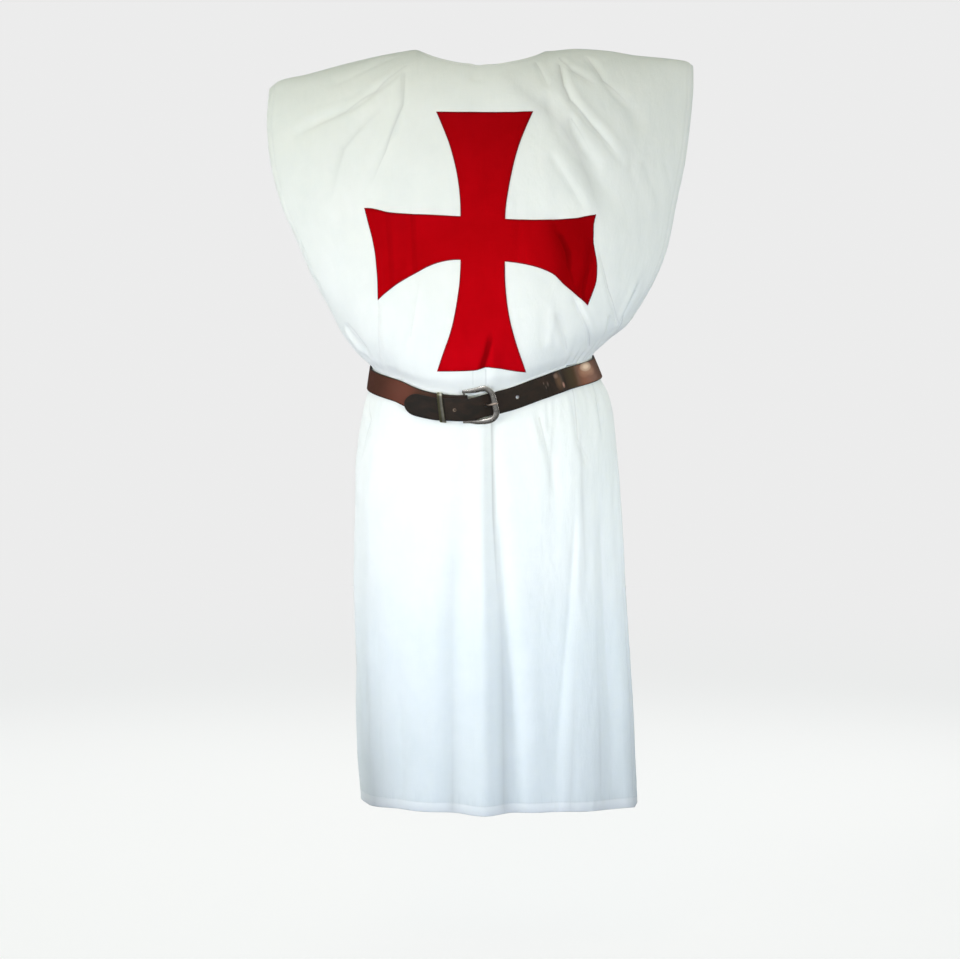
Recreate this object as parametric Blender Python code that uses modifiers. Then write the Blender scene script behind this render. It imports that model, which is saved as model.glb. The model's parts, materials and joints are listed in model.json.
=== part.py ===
"""Medieval surcoat: an open-sided tabard of white cotton, cut as one front and
one back panel, with a red cross pattee sewn to the front and its own leather
belt with a steel buckle and keeper.  It has the hollow form of a worn garment.

Frame: metres, +Z up, the front faces -Y.  The origin is midway between the two
neck ends of the shoulder seams, on the underside of the cloth.
"""
import math

import bmesh
import bpy
import numpy as np

# ---------------------------------------------------------------- sizes (m)
HALF_WIDTH = 0.345        # half the cut width of a panel
CUT_LENGTH = 1.265        # shoulder seam to hem along the cloth
CLOTH = 0.0020            # wall of a cotton panel
CROSS_CLOTH = 0.0010      # wall of the sewn cross
GAP = 0.0003              # clear space between touching pieces
SEAM = 0.0003             # space between the panels along the shoulders
NECK_HALF = 0.104         # half the neck opening
NECK_DROP_FRONT = 0.087   # depth of the neckline along the cloth
NECK_DROP_BACK = 0.072
SHOULDER_RISE = 0.110     # height over which the cloth turns over the shoulder
SHOULDER_RADIUS = 0.115   # mean radius of that turn
FLAT_CENTRE = 0.080       # half width of cloth that lies ungathered
EDGE_GAP = 0.003          # each panel stops this far from the side line

CROSS_TOP = 0.176         # the cross, measured down the cloth
CROSS_MIDDLE = 0.371
CROSS_BOTTOM = 0.573
CROSS_REACH = 0.183       # half its width
CROSS_WAIST = 0.0325      # half width of an arm at the middle
CROSS_END = 0.0720        # half width of a side arm at its end
CROSS_HEAD = 0.0745       # half width of the upper arm at its end
CROSS_FOOT = 0.0690       # half width of the lower arm at its end

BELT_WIDTH = 0.035
BELT_THICK = 0.0030
BELT_OUT = 0.0031         # inner face of the strap, out from the cloth's inside
BAR_RADIUS = 0.0020       # hinge bar of the buckle
BUCKLE_LEFT = -0.0265     # hinge bar, along the belt from the front centre
BUCKLE_RIGHT = 0.0192     # middle of the bow's far side
BUCKLE_HALF = 0.0232      # middle of the bow's arms above and below the strap
BOW_WIDE = 0.0048         # half width of the bow's metal
BOW_DEEP = 0.0021         # half depth of it
KEEPER_LEFT, KEEPER_RIGHT = -0.0665, -0.0577
KEEPER_WALL = 0.0012
KEEPER_LEAN = 0.21        # it hangs upright where the belt slopes

PANEL_COLUMNS = (7, 3, 2, 4, 2, 3, 7)
PANEL_ROWS = (6, 5, 2, 5, 1, 4, 13)

# -------------------------------------------------- level sections of a panel
# level, x of the left and right outline, y at the middle, y of both side edges,
# and how far the section has turned away when it reaches each edge (degrees).
# A level is a height, except near the waist, where levels follow the belt: its
# strap lies between levels -0.5385 and -0.5735 all the way round.
FRONT_SECTIONS = (
    # level  left    right    middle  y_left  y_right turn_l turn_r
    (0.0500, -0.337, 0.338, -0.120, -0.045, -0.045, 48, 48),
    (-0.0600, -0.339, 0.335, -0.120, -0.045, -0.045, 48, 48),
    (-0.1100, -0.341, 0.330, -0.122, -0.045, -0.045, 48, 48),
    (-0.1700, -0.335, 0.322, -0.132, -0.048, -0.048, 50, 50),
    (-0.2400, -0.318, 0.308, -0.140, -0.052, -0.052, 54, 54),
    (-0.3000, -0.292, 0.296, -0.145, -0.055, -0.055, 60, 58),
    (-0.3700, -0.266, 0.278, -0.149, -0.055, -0.056, 66, 64),
    (-0.4300, -0.243, 0.258, -0.151, -0.048, -0.050, 73, 70),
    (-0.4750, -0.2225, 0.2360, -0.147, -0.034, -0.036, 79, 77),
    (-0.5110, -0.1980, 0.1990, -0.137, -0.012, -0.012, 86, 86),
    (-0.5385, -0.1740, 0.1745, -0.1200, -0.001, -0.001, 90, 90),
    (-0.5560, -0.1765, 0.1815, -0.1190, -0.001, -0.001, 90, 90),
    (-0.5735, -0.1790, 0.1885, -0.1190, -0.001, -0.001, 90, 90),
    (-0.5950, -0.1855, 0.2005, -0.1200, -0.002, -0.008, 91, 88),
    (-0.6300, -0.1925, 0.2090, -0.1290, -0.005, -0.022, 92, 84),
    (-0.7000, -0.2010, 0.2160, -0.1385, -0.012, -0.050, 94, 75),
    (-0.8500, -0.2030, 0.2285, -0.1460, -0.020, -0.078, 97, 66),
    (-1.0200, -0.2010, 0.2400, -0.1500, -0.024, -0.094, 97, 60),
    (-1.2100, -0.1930, 0.2500, -0.1500, -0.030, -0.104, 97, 56),
)
BACK_SECTIONS = (
    (0.0500, -0.333, 0.334, 0.105, 0.045, 0.045, 46, 46),
    (-0.0600, -0.334, 0.330, 0.106, 0.045, 0.045, 46, 46),
    (-0.1100, -0.335, 0.325, 0.112, 0.046, 0.046, 46, 46),
    (-0.1700, -0.329, 0.316, 0.119, 0.048, 0.048, 48, 48),
    (-0.2400, -0.311, 0.302, 0.124, 0.052, 0.052, 52, 52),
    (-0.3000, -0.285, 0.289, 0.126, 0.055, 0.055, 58, 56),
    (-0.3700, -0.259, 0.271, 0.126, 0.055, 0.056, 64, 62),
    (-0.4300, -0.237, 0.252, 0.124, 0.048, 0.050, 71, 68),
    (-0.4750, -0.2180, 0.2310, 0.119, 0.034, 0.036, 78, 76),
    (-0.5110, -0.1950, 0.1960, 0.111, 0.012, 0.012, 86, 86),
    (-0.5385, -0.1740, 0.1745, 0.1040, 0.001, 0.001, 90, 90),
    (-0.5560, -0.1765, 0.1815, 0.1040, 0.001, 0.001, 90, 90),
    (-0.5735, -0.1790, 0.1885, 0.1040, 0.001, 0.001, 90, 90),
    (-0.5950, -0.1855, 0.1975, 0.1100, 0.002, 0.002, 90, 90),
    (-0.6300, -0.1905, 0.2035, 0.1190, 0.005, 0.006, 91, 90),
    (-0.7000, -0.1970, 0.2085, 0.1310, 0.012, 0.014, 92, 88),
    (-0.8500, -0.1985, 0.2180, 0.1420, 0.016, 0.022, 93, 86),
    (-1.0200, -0.1965, 0.2240, 0.1470, 0.020, 0.026, 93, 84),
    (-1.2100, -0.1890, 0.2300, 0.1490, 0.024, 0.030, 93, 82),
)
SECTION_COLUMNS = ("level", "left", "right", "middle", "y_left", "y_right",
                   "turn_left", "turn_right")

BELT_LEVEL = -0.556
FOLLOW = (-0.30, -0.42, -0.66, -0.90)   # heights where levels start, follow, stop

# the shoulder line, seen from the front
RIDGE = (
    # x      z
    (-0.345, -0.0600), (-0.332, -0.0500), (-0.320, -0.0455), (-0.286, -0.0390),
    (-0.210, -0.0200), (-0.133, -0.0040), (-0.104, 0.0000), (0.000, 0.0010),
    (0.104, -0.0020), (0.150, 0.0015), (0.197, -0.0010), (0.248, -0.0085),
    (0.300, -0.0130), (0.345, -0.0180),
)
# how much lower a thread hangs at each side edge than at the middle
FRONT_DROOP = (
    # down    left    right
    (0.000, 0.105, 0.075), (0.180, 0.105, 0.082), (0.371, 0.090, 0.104),
    (0.500, 0.045, 0.030), (0.625, -0.037, -0.053), (0.900, -0.010, -0.015),
    (1.265, 0.000, 0.000),
)
BACK_DROOP = (
    (0.000, 0.105, 0.075), (0.180, 0.105, 0.080), (0.371, 0.092, 0.085),
    (0.470, 0.055, 0.040), (0.555, 0.034, 0.018), (0.720, 0.012, 0.008),
    (1.265, 0.000, 0.000),
)
# what the grid rows of a panel follow, from the neckline to the hem
FRONT_ROWS = (None, CROSS_TOP, "cross", "cross", CROSS_BOTTOM, "belt", "belt", CUT_LENGTH)
BACK_ROWS = (None, 0.176, 0.300, 0.350, 0.495, "belt", "belt", CUT_LENGTH)
BELT_ROWS = (-0.5365, -0.5755)          # levels just clear of the strap
# height of the belt's centre line; angle 0 is the front, +90 the right side
BELT_LINE = (
    # angle   z
    (-180, -0.484), (-135, -0.497), (-90, -0.518), (-48, -0.5360), (-38, -0.5458),
    (-29, -0.5528), (-20, -0.5568), (-12, -0.5582), (0, -0.5567), (12, -0.5490), (30, -0.5310),
    (51, -0.5150), (90, -0.5020), (135, -0.4880), (180, -0.4840),
)
# the large folds: across and down where each starts and ends, half width and
# lift at both places; a negative lift is a valley
FRONT_FOLDS = (
    # s0      t0     s1      t1     w0     w1     lift0   lift1
    (-0.010, 0.690, -0.003, 1.265, 0.014, 0.032, 0.004, 0.019),
    (0.020, 0.650, 0.050, 1.265, 0.012, 0.020, -0.004, -0.012),
    (-0.030, 0.760, -0.062, 1.265, 0.015, 0.020, -0.002, -0.008),
    (-0.150, 0.880, -0.160, 1.265, 0.016, 0.024, -0.003, -0.016),
    (-0.235, 0.800, -0.235, 1.265, 0.018, 0.026, 0.002, 0.008),
    (0.120, 0.720, 0.130, 1.265, 0.018, 0.024, -0.003, -0.013),
    (0.185, 0.700, 0.205, 1.265, 0.020, 0.028, 0.002, 0.008),
    (0.255, 0.760, 0.270, 1.265, 0.018, 0.024, -0.002, -0.010),
    (-0.125, 0.110, -0.215, 0.330, 0.016, 0.026, -0.003, -0.009),
    (-0.150, 0.060, -0.280, 0.180, 0.014, 0.024, -0.002, -0.006),
    (0.125, 0.110, 0.225, 0.330, 0.016, 0.026, -0.003, -0.009),
    (0.150, 0.060, 0.265, 0.200, 0.014, 0.024, -0.002, -0.007),
)
BACK_FOLDS = (
    (0.000, 0.690, 0.012, 1.265, 0.016, 0.034, 0.003, 0.015),
    (-0.055, 0.700, -0.075, 1.265, 0.014, 0.022, -0.003, -0.012),
    (0.060, 0.690, 0.090, 1.265, 0.014, 0.022, -0.003, -0.013),
    (-0.160, 0.780, -0.175, 1.265, 0.018, 0.026, -0.003, -0.014),
    (0.170, 0.760, 0.190, 1.265, 0.018, 0.026, -0.003, -0.012),
    (0.250, 0.800, 0.262, 1.265, 0.018, 0.024, 0.002, 0.007),
    (-0.130, 0.100, -0.225, 0.340, 0.018, 0.026, -0.003, -0.009),
    (0.130, 0.100, 0.225, 0.340, 0.018, 0.026, -0.003, -0.009),
)
PLEAT_DEPTH = 0.0065      # gathers held by the belt
PLEAT_REACH = 0.075       # distance over which they open out

# --------------------------------------------------- the belt's layers
# distance along the belt from the front centre, height of the leather's middle
# above the inside of the cloth, and shift down from the centre line
TAIL_END = (
    # along   out      shift
    (0.0750, 0.0046, 0.0000), (0.0500, 0.0046, 0.0000), (0.0310, 0.0056, 0.0000),
    (0.0190, 0.0067, 0.0000), (0.0128, 0.0069, 0.0000), (0.0068, 0.0099, -0.0002),
    (0.0022, 0.0129, -0.0005), (-0.0030, 0.0143, -0.0012), (-0.0110, 0.0153, -0.0022),
    (-0.0195, 0.0161, -0.0032), (-0.0275, 0.0164, -0.0040),
    (-0.0355, 0.0146, -0.0046), (-0.0435, 0.0119, -0.0052),
    (-0.0530, 0.0101, -0.0057), (-0.0720, 0.0101, -0.0066),
    (-0.0880, 0.0088, -0.0070), (-0.1040, 0.0081, -0.0076),
    (-0.1200, 0.0080, -0.0084),
)
BUCKLE_END = (
    (-0.1100, 0.0046, 0.0), (-0.0900, 0.0053, 0.0), (-0.0750, 0.0065, 0.0),
    (-0.0535, 0.0065, 0.0), (-0.0465, 0.0082, 0.0), (-0.0400, 0.0091, 0.0),
    (-0.0340, 0.0110, 0.0),
)
LOOP_CENTRE = 0.0088      # height of the hinge bar
RETURN_END = -0.048       # the folded-back end of the strap stops here
PRONG_LINE = (
    (-0.0225, 0.0123), (-0.0140, 0.0109), (-0.0060, 0.0094), (0.0000, 0.0082),
    (0.0044, 0.0085), (0.0088, 0.0124), (0.0130, 0.0153), (0.0190, 0.0159),
    (0.0240, 0.0155),
)
PRONG_RADIUS = 0.0016
HOLES = (-0.0400, 0.0068, 0.0560)   # along the belt, in the tail


# ---------------------------------------------------------------- functions
def smooth(x, xs, ys):
    """Smooth curve through table values, level with them at the ends."""
    xs, ys = np.asarray(xs, float), np.asarray(ys, float)
    if xs[0] > xs[-1]:
        xs, ys = xs[::-1], ys[::-1]
    x = np.clip(np.asarray(x, float), xs[0], xs[-1])
    step = np.diff(xs)
    slope = np.diff(ys) / step
    lean = np.zeros(len(xs))
    lean[1:-1] = np.where(slope[:-1] * slope[1:] > 0,
                          2 * slope[:-1] * slope[1:]
                          / np.where(slope[:-1] * slope[1:] > 0, slope[:-1] + slope[1:], 1),
                          0.0)
    lean[0], lean[-1] = slope[0], slope[-1]
    i = np.clip(np.searchsorted(xs, x, side="right") - 1, 0, len(xs) - 2)
    h = step[i]
    u = (x - xs[i]) / h
    return (ys[i] * (1 + 2 * u) * (1 - u) ** 2 + h * lean[i] * u * (1 - u) ** 2
            + ys[i + 1] * u * u * (3 - 2 * u) + h * lean[i + 1] * u * u * (u - 1))


def column(rows, index):
    return [row[index] for row in rows]


def section(rows, level):
    return {name: smooth(level, column(rows, 0), column(rows, k))
            for k, name in enumerate(SECTION_COLUMNS) if k}


def step(x, start, end):
    u = np.clip((x - start) / (end - start), 0, 1)
    return u * u * (3 - 2 * u)


def belt_height(angle):
    return smooth(np.degrees(angle), column(BELT_LINE, 0), column(BELT_LINE, 1))


def around_angle(rows, angle):
    """Angle round the waist of a point at an angle from its panel's middle."""
    if rows is FRONT_SECTIONS:
        return angle
    return np.where(angle >= 0, math.pi, -math.pi) - angle


def level_at(rows, z, angle):
    follow = step(z, FOLLOW[0], FOLLOW[1]) * (1 - step(z, FOLLOW[2], FOLLOW[3]))
    return z + (BELT_LEVEL - belt_height(around_angle(rows, angle))) * follow


def shape(rows, z, angle):
    """Half axes, middle and turn of the level section through a point."""
    s = section(rows, level_at(rows, z, angle))
    right = angle >= 0
    reach = np.abs(np.where(right, s["right"], s["left"]))
    edge = np.where(right, s["y_right"], s["y_left"])
    turn = np.radians(np.where(right, s["turn_right"], s["turn_left"]))
    half = reach / np.sin(np.minimum(turn, math.pi / 2))
    depth = (edge - s["middle"]) / (1 - np.cos(turn))
    return half, depth, s["middle"], turn


def turned(rows, z, angle):
    """A point of the panel at height z, at an angle from its middle."""
    half, depth, middle, _ = shape(rows, z, angle)
    return half * np.sin(angle), middle + depth * (1 - np.cos(angle))


def section_angle(rows, z, across):
    """The angle reached by a thread that lies `across` from the middle."""
    share = np.linspace(0, 1, 41)
    away = np.abs(across)
    part = np.clip((away - FLAT_CENTRE) / (HALF_WIDTH - FLAT_CENTRE), 0, 1) ** 1.2
    found = across / HALF_WIDTH * 1.3
    for _ in range(4):
        half, depth, _, turn = shape(rows, z, found)
        angle = turn[..., None] * share
        px = half[..., None] * np.sin(angle)
        py = depth[..., None] * (1 - np.cos(angle))
        run = np.concatenate([np.zeros(px.shape[:-1] + (1,)),
                              np.cumsum(np.hypot(np.diff(px), np.diff(py)), axis=-1)], axis=-1)
        want = away + (run[..., -1] - EDGE_GAP - HALF_WIDTH) * part
        k = np.clip((run < want[..., None]).sum(axis=-1) - 1, 0, len(share) - 2)[..., None]
        low = np.take_along_axis(run, k, -1)[..., 0]
        high = np.take_along_axis(run, k + 1, -1)[..., 0]
        reached = turn * (share[k[..., 0]] + (want - low) / (high - low) * share[1])
        found = np.where(across >= 0, reached, -reached)
    return found


def height(across, down, ridge_z, droop):
    """Height of a thread crossing, from where it lies in the cut panel."""
    over = down / SHOULDER_RADIUS
    rounded = -SHOULDER_RISE * (1 - np.cos(np.minimum(over, math.pi / 2)))
    straight = -SHOULDER_RISE - (down - SHOULDER_RADIUS * math.pi / 2)
    middle = np.where(over < math.pi / 2, rounded, straight)
    side = np.where(across < 0, smooth(down, column(droop, 0), column(droop, 1)),
                    smooth(down, column(droop, 0), column(droop, 2)))
    hang = side * (np.abs(across) / HALF_WIDTH) ** 2
    blend = np.clip(down / 0.18, 0, 1)
    blend = blend * blend * (3 - 2 * blend)
    return middle + ridge_z * (1 - blend) - hang * blend


def panel_point(rows, across, down):
    """A point on the inside of a worn panel, before its folds."""
    ridge_z = smooth(across, column(RIDGE, 0), column(RIDGE, 1))
    z = height(across, down, ridge_z, FRONT_DROOP if rows is FRONT_SECTIONS else BACK_DROOP)
    angle = section_angle(rows, z, across)
    x, y = turned(rows, z, angle)
    over = np.sin(np.minimum(down / SHOULDER_RADIUS, math.pi / 2))
    front = -1.0 if rows[0][3] < 0 else 1.0
    y = y * over + front * SEAM / 2 * (1 - over)
    return np.stack([x, y, z], axis=-1), angle


def fold_lift(folds, across, down):
    lift = np.zeros_like(across)
    for s0, t0, s1, t1, w0, w1, l0, l1 in folds:
        along = np.array([s1 - s0, t1 - t0])
        length = np.hypot(*along)
        along = along / length
        ds, dt = across - s0, down - t0
        run = (ds * along[0] + dt * along[1]) / length
        off = ds * along[1] - dt * along[0]
        part = np.clip(run, 0, 1)
        wide = w0 + (w1 - w0) * part
        ends = np.clip((run + 0.12) / 0.12, 0, 1) * np.clip((1.15 - run) / 0.15, 0, 1)
        lift += (l0 + (l1 - l0) * part) * np.exp(-(off / wide) ** 2) * ends
    return lift


def pleat_lift(rows, across, z, angle):
    """Gathers beside the belt, deepest at it, only ever inwards."""
    at = belt_height(around_angle(rows, angle))
    near = np.exp(-((z - at) / PLEAT_REACH) ** 2)
    zone = np.clip((np.abs(across) - 0.095) / 0.05, 0, 1)
    wave = 0.5 - 0.5 * np.cos(2 * math.pi * (np.abs(across) - 0.104) / 0.0463)
    return -PLEAT_DEPTH * near * zone * wave


def cross_half(distance, length, end):
    """Half width of an arm of the cross at a distance from its middle."""
    part = np.clip((distance - CROSS_WAIST) / (length - CROSS_WAIST), 0, 1)
    return CROSS_WAIST + (end - CROSS_WAIST) * part ** 1.7


def cross_lines(across, down):
    """Sides of the upright, ends of the beam, and its upper and lower edge."""
    upper = down < CROSS_MIDDLE
    reach = np.where(upper, CROSS_MIDDLE - CROSS_TOP, CROSS_BOTTOM - CROSS_MIDDLE)
    half = cross_half(np.abs(down - CROSS_MIDDLE), reach,
                      np.where(upper, CROSS_HEAD, CROSS_FOOT))
    centre = 0.0015 + 0.0130 * np.clip(CROSS_MIDDLE - down, -0.2, 0.2)
    lean = 0.050 * np.clip(CROSS_MIDDLE - down, -0.075, 0.075)
    arm = cross_half(np.abs(across - 0.0015), CROSS_REACH, CROSS_END)
    middle = CROSS_MIDDLE + 0.018 * np.clip(across, 0, CROSS_REACH)
    return (centre - half, centre + half, -(CROSS_REACH + 0.003 + lean) + 0 * half,
            CROSS_REACH + 0 * half, middle - arm, middle + arm)


def spread(anchors, counts):
    """Grid lines between anchors; each anchor is an array of equal shape."""
    lines = [anchors[0]]
    for a, b, n in zip(anchors[:-1], anchors[1:], counts):
        lines += [a + (b - a) * k / n for k in range(1, n + 1)]
    return lines


def thread_at_level(sections, across, level):
    """How far down a panel its cloth reaches a level, for each column."""
    down = np.linspace(0.46, 0.76, 61)
    at, angle = panel_point(sections, *np.meshgrid(across, down, indexing="ij"))
    reached = level_at(sections, at[..., 2], angle)
    return np.array([np.interp(-level, -line, down) for line in reached])


def panel_layout(neck_drop, threads, sections):
    """Across and down of every grid crossing.  Lines follow cross and belt."""
    rows, cols = sum(PANEL_ROWS) + 1, sum(PANEL_COLUMNS) + 1
    left, right, far_left, far_right, _, _ = cross_lines(0.0, CROSS_BOTTOM + 0.03)
    columns = np.array(spread((-HALF_WIDTH, far_left, -NECK_HALF, left, right, NECK_HALF,
                               far_right, HALF_WIDTH), PANEL_COLUMNS))
    belt = [thread_at_level(sections, columns, level)[None, :] for level in BELT_ROWS]
    across = np.tile(np.linspace(-HALF_WIDTH, HALF_WIDTH, cols), (rows, 1))
    down = np.tile(np.linspace(0, CUT_LENGTH, rows)[:, None], (1, cols))
    for _ in range(30):
        left, right, far_left, far_right, _, _ = cross_lines(across, down)
        one = np.ones_like(down)
        anchors = [-HALF_WIDTH * one, far_left, -NECK_HALF * one, left,
                   right, NECK_HALF * one, far_right, HALF_WIDTH * one]
        lines = spread(anchors, PANEL_COLUMNS)
        across = np.stack([lines[j][:, j] for j in range(cols)], axis=1)
        top = neck_drop * np.sqrt(np.clip(1 - (across / NECK_HALF) ** 2, 0, 1))
        *_, beam_top, beam_foot = cross_lines(across, down)
        if "cross" in threads:
            arm = [beam_top, beam_foot]
        else:
            arm = [threads[2] * one, threads[3] * one]
        anchors = [top, threads[1] * one] + arm
        anchors += [threads[4] * one, belt[0] * one, belt[1] * one, threads[7] * one]
        lines = spread(anchors, PANEL_ROWS)
        down = np.stack([lines[i][i, :] for i in range(rows)], axis=0)
    return across, down


def panel_grid(sections, folds, neck_drop, back):
    """Cloth grid as points with every fold pressed along the normal."""
    across, down = panel_layout(neck_drop, BACK_ROWS if back else FRONT_ROWS, sections)

    def place(s, t):
        return panel_point(sections, s, t)

    at, angle = place(across, down)
    eps = 0.002
    side, _ = place(np.clip(across + eps, -HALF_WIDTH, HALF_WIDTH), down)
    side0, _ = place(np.clip(across - eps, -HALF_WIDTH, HALF_WIDTH), down)
    low, _ = place(across, down + eps)
    high, _ = place(across, np.maximum(down - eps, 0))
    normal = np.cross(side - side0, high - low)
    normal /= np.maximum(np.linalg.norm(normal, axis=-1, keepdims=True), 1e-12)
    if back:
        normal = -normal
    lift = fold_lift(folds, across, down)
    lift += pleat_lift(sections, across, at[..., 2], angle)
    return at + normal * lift[..., None], across, down


def new_grid(columns, rows):
    """An open grid and its vertices ordered by row (top first) and column."""
    bm = bmesh.new()
    bmesh.ops.create_grid(bm, x_segments=columns, y_segments=rows, size=1.0)
    order = sorted(bm.verts, key=lambda v: (-round((v.co.y + 1) / 2 * rows),
                                            round((v.co.x + 1) / 2 * columns)))
    return bm, order


def finish(bm, name, colour, roughness, metallic, parts):
    mesh = bpy.data.meshes.new(name)
    bm.to_mesh(mesh)
    bm.free()
    obj = bpy.data.objects.new(name, mesh)
    parts.objects.link(obj)
    mesh.shade_smooth()
    mesh.set_sharp_from_angle(angle=math.radians(40))
    paint(obj, name, colour, roughness, metallic)
    return obj


def paint(obj, name, colour, roughness, metallic):
    material = bpy.data.materials.new(name)
    material.use_nodes = True
    shader = material.node_tree.nodes["Principled BSDF"]
    shader.inputs["Base Color"].default_value = (*colour, 1)
    shader.inputs["Roughness"].default_value = roughness
    shader.inputs["Metallic"].default_value = metallic
    obj.data.materials.append(material)


def shell(obj, thickness, offset):
    wall = obj.modifiers.new("Wall", "SOLIDIFY")
    wall.thickness = thickness
    wall.offset = offset
    wall.use_even_offset = False
    wall.use_rim = True
    return wall


def face_out(bm, towards):
    bm.normal_update()
    total = sum(f.normal.dot(towards(f.calc_center_median())) * f.calc_area() for f in bm.faces)
    if total < 0:
        bmesh.ops.reverse_faces(bm, faces=bm.faces[:])
        bm.normal_update()


# ------------------------------------------------------------ belt coordinates
def wrap(angle):
    return (angle + math.pi) % (2 * math.pi) - math.pi


def ring_point(angle, z):
    """A point of the cloth's inside, at an angle round the waist."""
    angle = wrap(angle)
    front = np.abs(angle) <= math.pi / 2
    inner = np.where(front, angle, np.where(angle >= 0, math.pi, -math.pi) - angle)
    fx, fy = turned(FRONT_SECTIONS, z, np.where(front, inner, 0.0))
    bx, by = turned(BACK_SECTIONS, z, np.where(front, 0.0, inner))
    return np.stack([np.where(front, fx, bx), np.where(front, fy, by), z], axis=-1)


def belt_lengths():
    angle = np.radians(np.linspace(-260, 260, 1041))
    at = ring_point(angle, belt_height(wrap(angle)))
    run = np.concatenate([[0], np.cumsum(np.linalg.norm(np.diff(at, axis=0), axis=1))])
    return angle, run - np.interp(0.0, angle, run)


BELT_ANGLES, BELT_RUN = belt_lengths()


def unit(v):
    return v / np.linalg.norm(v, axis=-1, keepdims=True)


def belt_point(along, up, out):
    """Belt coordinates to space: along from the front centre, up and outwards.

    The strap is straight across its width, and square to its centre line."""
    along, up, out = np.broadcast_arrays(np.asarray(along, float), np.asarray(up, float),
                                         np.asarray(out, float))

    def line(run):
        angle = np.interp(run, BELT_RUN, BELT_ANGLES)
        z = belt_height(wrap(angle))
        return ring_point(angle, z), angle, z
    at, angle, z = line(along)
    ahead, behind = line(along + 0.006)[0], line(along - 0.006)[0]
    forward = unit(ahead - behind)
    rise = ring_point(angle, z + 0.0150) - ring_point(angle, z - 0.0150)
    normal = unit(np.cross(forward, rise))
    upward = np.cross(normal, forward)
    return at + upward * up[..., None] + normal * out[..., None]


# ---------------------------------------------------------------- the pieces
def build_panels(parts):
    columns, rows = sum(PANEL_COLUMNS), sum(PANEL_ROWS)
    made = {}
    for name, sections, folds, drop, back in (
            ("front_panel", FRONT_SECTIONS, FRONT_FOLDS, NECK_DROP_FRONT, False),
            ("back_panel", BACK_SECTIONS, BACK_FOLDS, NECK_DROP_BACK, True)):
        points, _, _ = panel_grid(sections, folds, drop, back)
        bm, order = new_grid(columns, rows)
        for vert, co in zip(order, points.reshape(-1, 3)):
            vert.co = co
        bmesh.ops.triangulate(bm, faces=bm.faces[:], quad_method="ALTERNATE")
        sign = 1.0 if back else -1.0
        face_out(bm, lambda c: type(c)((0.0, sign, 0.0)))
        made[name] = (bm, order)

    # the cross is the panel's own cells, moved out past its wall
    bm, order = made["front_panel"]
    lift = CLOTH + GAP
    cross = bmesh.new()
    first, last = sum(PANEL_COLUMNS[:3]), sum(PANEL_COLUMNS[:4])
    arm_first, arm_last = PANEL_COLUMNS[0], columns - PANEL_COLUMNS[-1]
    top, bottom = PANEL_ROWS[0], sum(PANEL_ROWS[:4])
    arm_top, arm_bottom = sum(PANEL_ROWS[:2]), sum(PANEL_ROWS[:3])
    place = {vert: divmod(k, columns + 1) for k, vert in enumerate(order)}
    copies = {}
    for face in bm.faces:
        cells = [place[v] for v in face.verts]
        row = min(c[0] for c in cells)
        col = min(c[1] for c in cells)
        upright = first <= col < last and top <= row < bottom
        beam = arm_first <= col < arm_last and arm_top <= row < arm_bottom
        if not (upright or beam):
            continue
        for v in face.verts:
            if v not in copies:
                copies[v] = cross.verts.new(v.co + v.normal * lift)
        cross.faces.new([copies[v] for v in face.verts])
    cross.normal_update()

    white, red = (0.86, 0.88, 0.86), (0.46, 0.008, 0.012)
    front = finish(made["front_panel"][0], "front_panel", white, 0.85, 0.0, parts)
    back = finish(made["back_panel"][0], "back_panel", white, 0.85, 0.0, parts)
    badge = finish(cross, "cross_applique", red, 0.8, 0.0, parts)
    shell(front, CLOTH, 1.0)
    shell(back, CLOTH, 1.0)
    shell(badge, CROSS_CLOTH, 1.0)


def strap_path():
    """Middle of the leather: buckle end, once round the waist, to the tip."""
    around = BELT_RUN[np.searchsorted(BELT_ANGLES, math.pi)] \
        - BELT_RUN[np.searchsorted(BELT_ANGLES, -math.pi)]
    path = []
    # folded-back end, under the strap, towards the hinge bar
    low = BELT_OUT + BELT_THICK / 2
    for along in np.linspace(RETURN_END, BUCKLE_LEFT - 0.004, 5):
        path.append((along, low, 0.0))
    # round the hinge bar
    turn = LOOP_CENTRE - low
    for angle in np.linspace(-80, 80, 10):
        path.append((BUCKLE_LEFT + turn * math.cos(math.radians(angle)),
                     LOOP_CENTRE + turn * math.sin(math.radians(angle)), 0.0))
    # back over itself and away to the wearer's side
    for along, out, shift in BUCKLE_END[::-1]:
        path.append((along, out, shift))
    start, stop = BUCKLE_END[0][0], TAIL_END[0][0] - around
    count = int((start - stop) / 0.0125)
    for k in range(1, count):
        path.append((start + (stop - start) * k / count, low, 0.0))
    stations = np.concatenate([[0.075, 0.0625], np.linspace(0.0585, -0.120, 38)])
    for hole in HOLES:
        stations = stations[np.abs(stations - hole) > 0.0052]
        stations = np.append(stations, [hole - 0.0026, hole + 0.0026])
    for along in sorted(stations, reverse=True):
        out = float(smooth(along, column(TAIL_END, 0), column(TAIL_END, 1)))
        shift = float(smooth(along, column(TAIL_END, 0), column(TAIL_END, 2)))
        path.append((along - around, out, shift))
    return path, around


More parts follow.
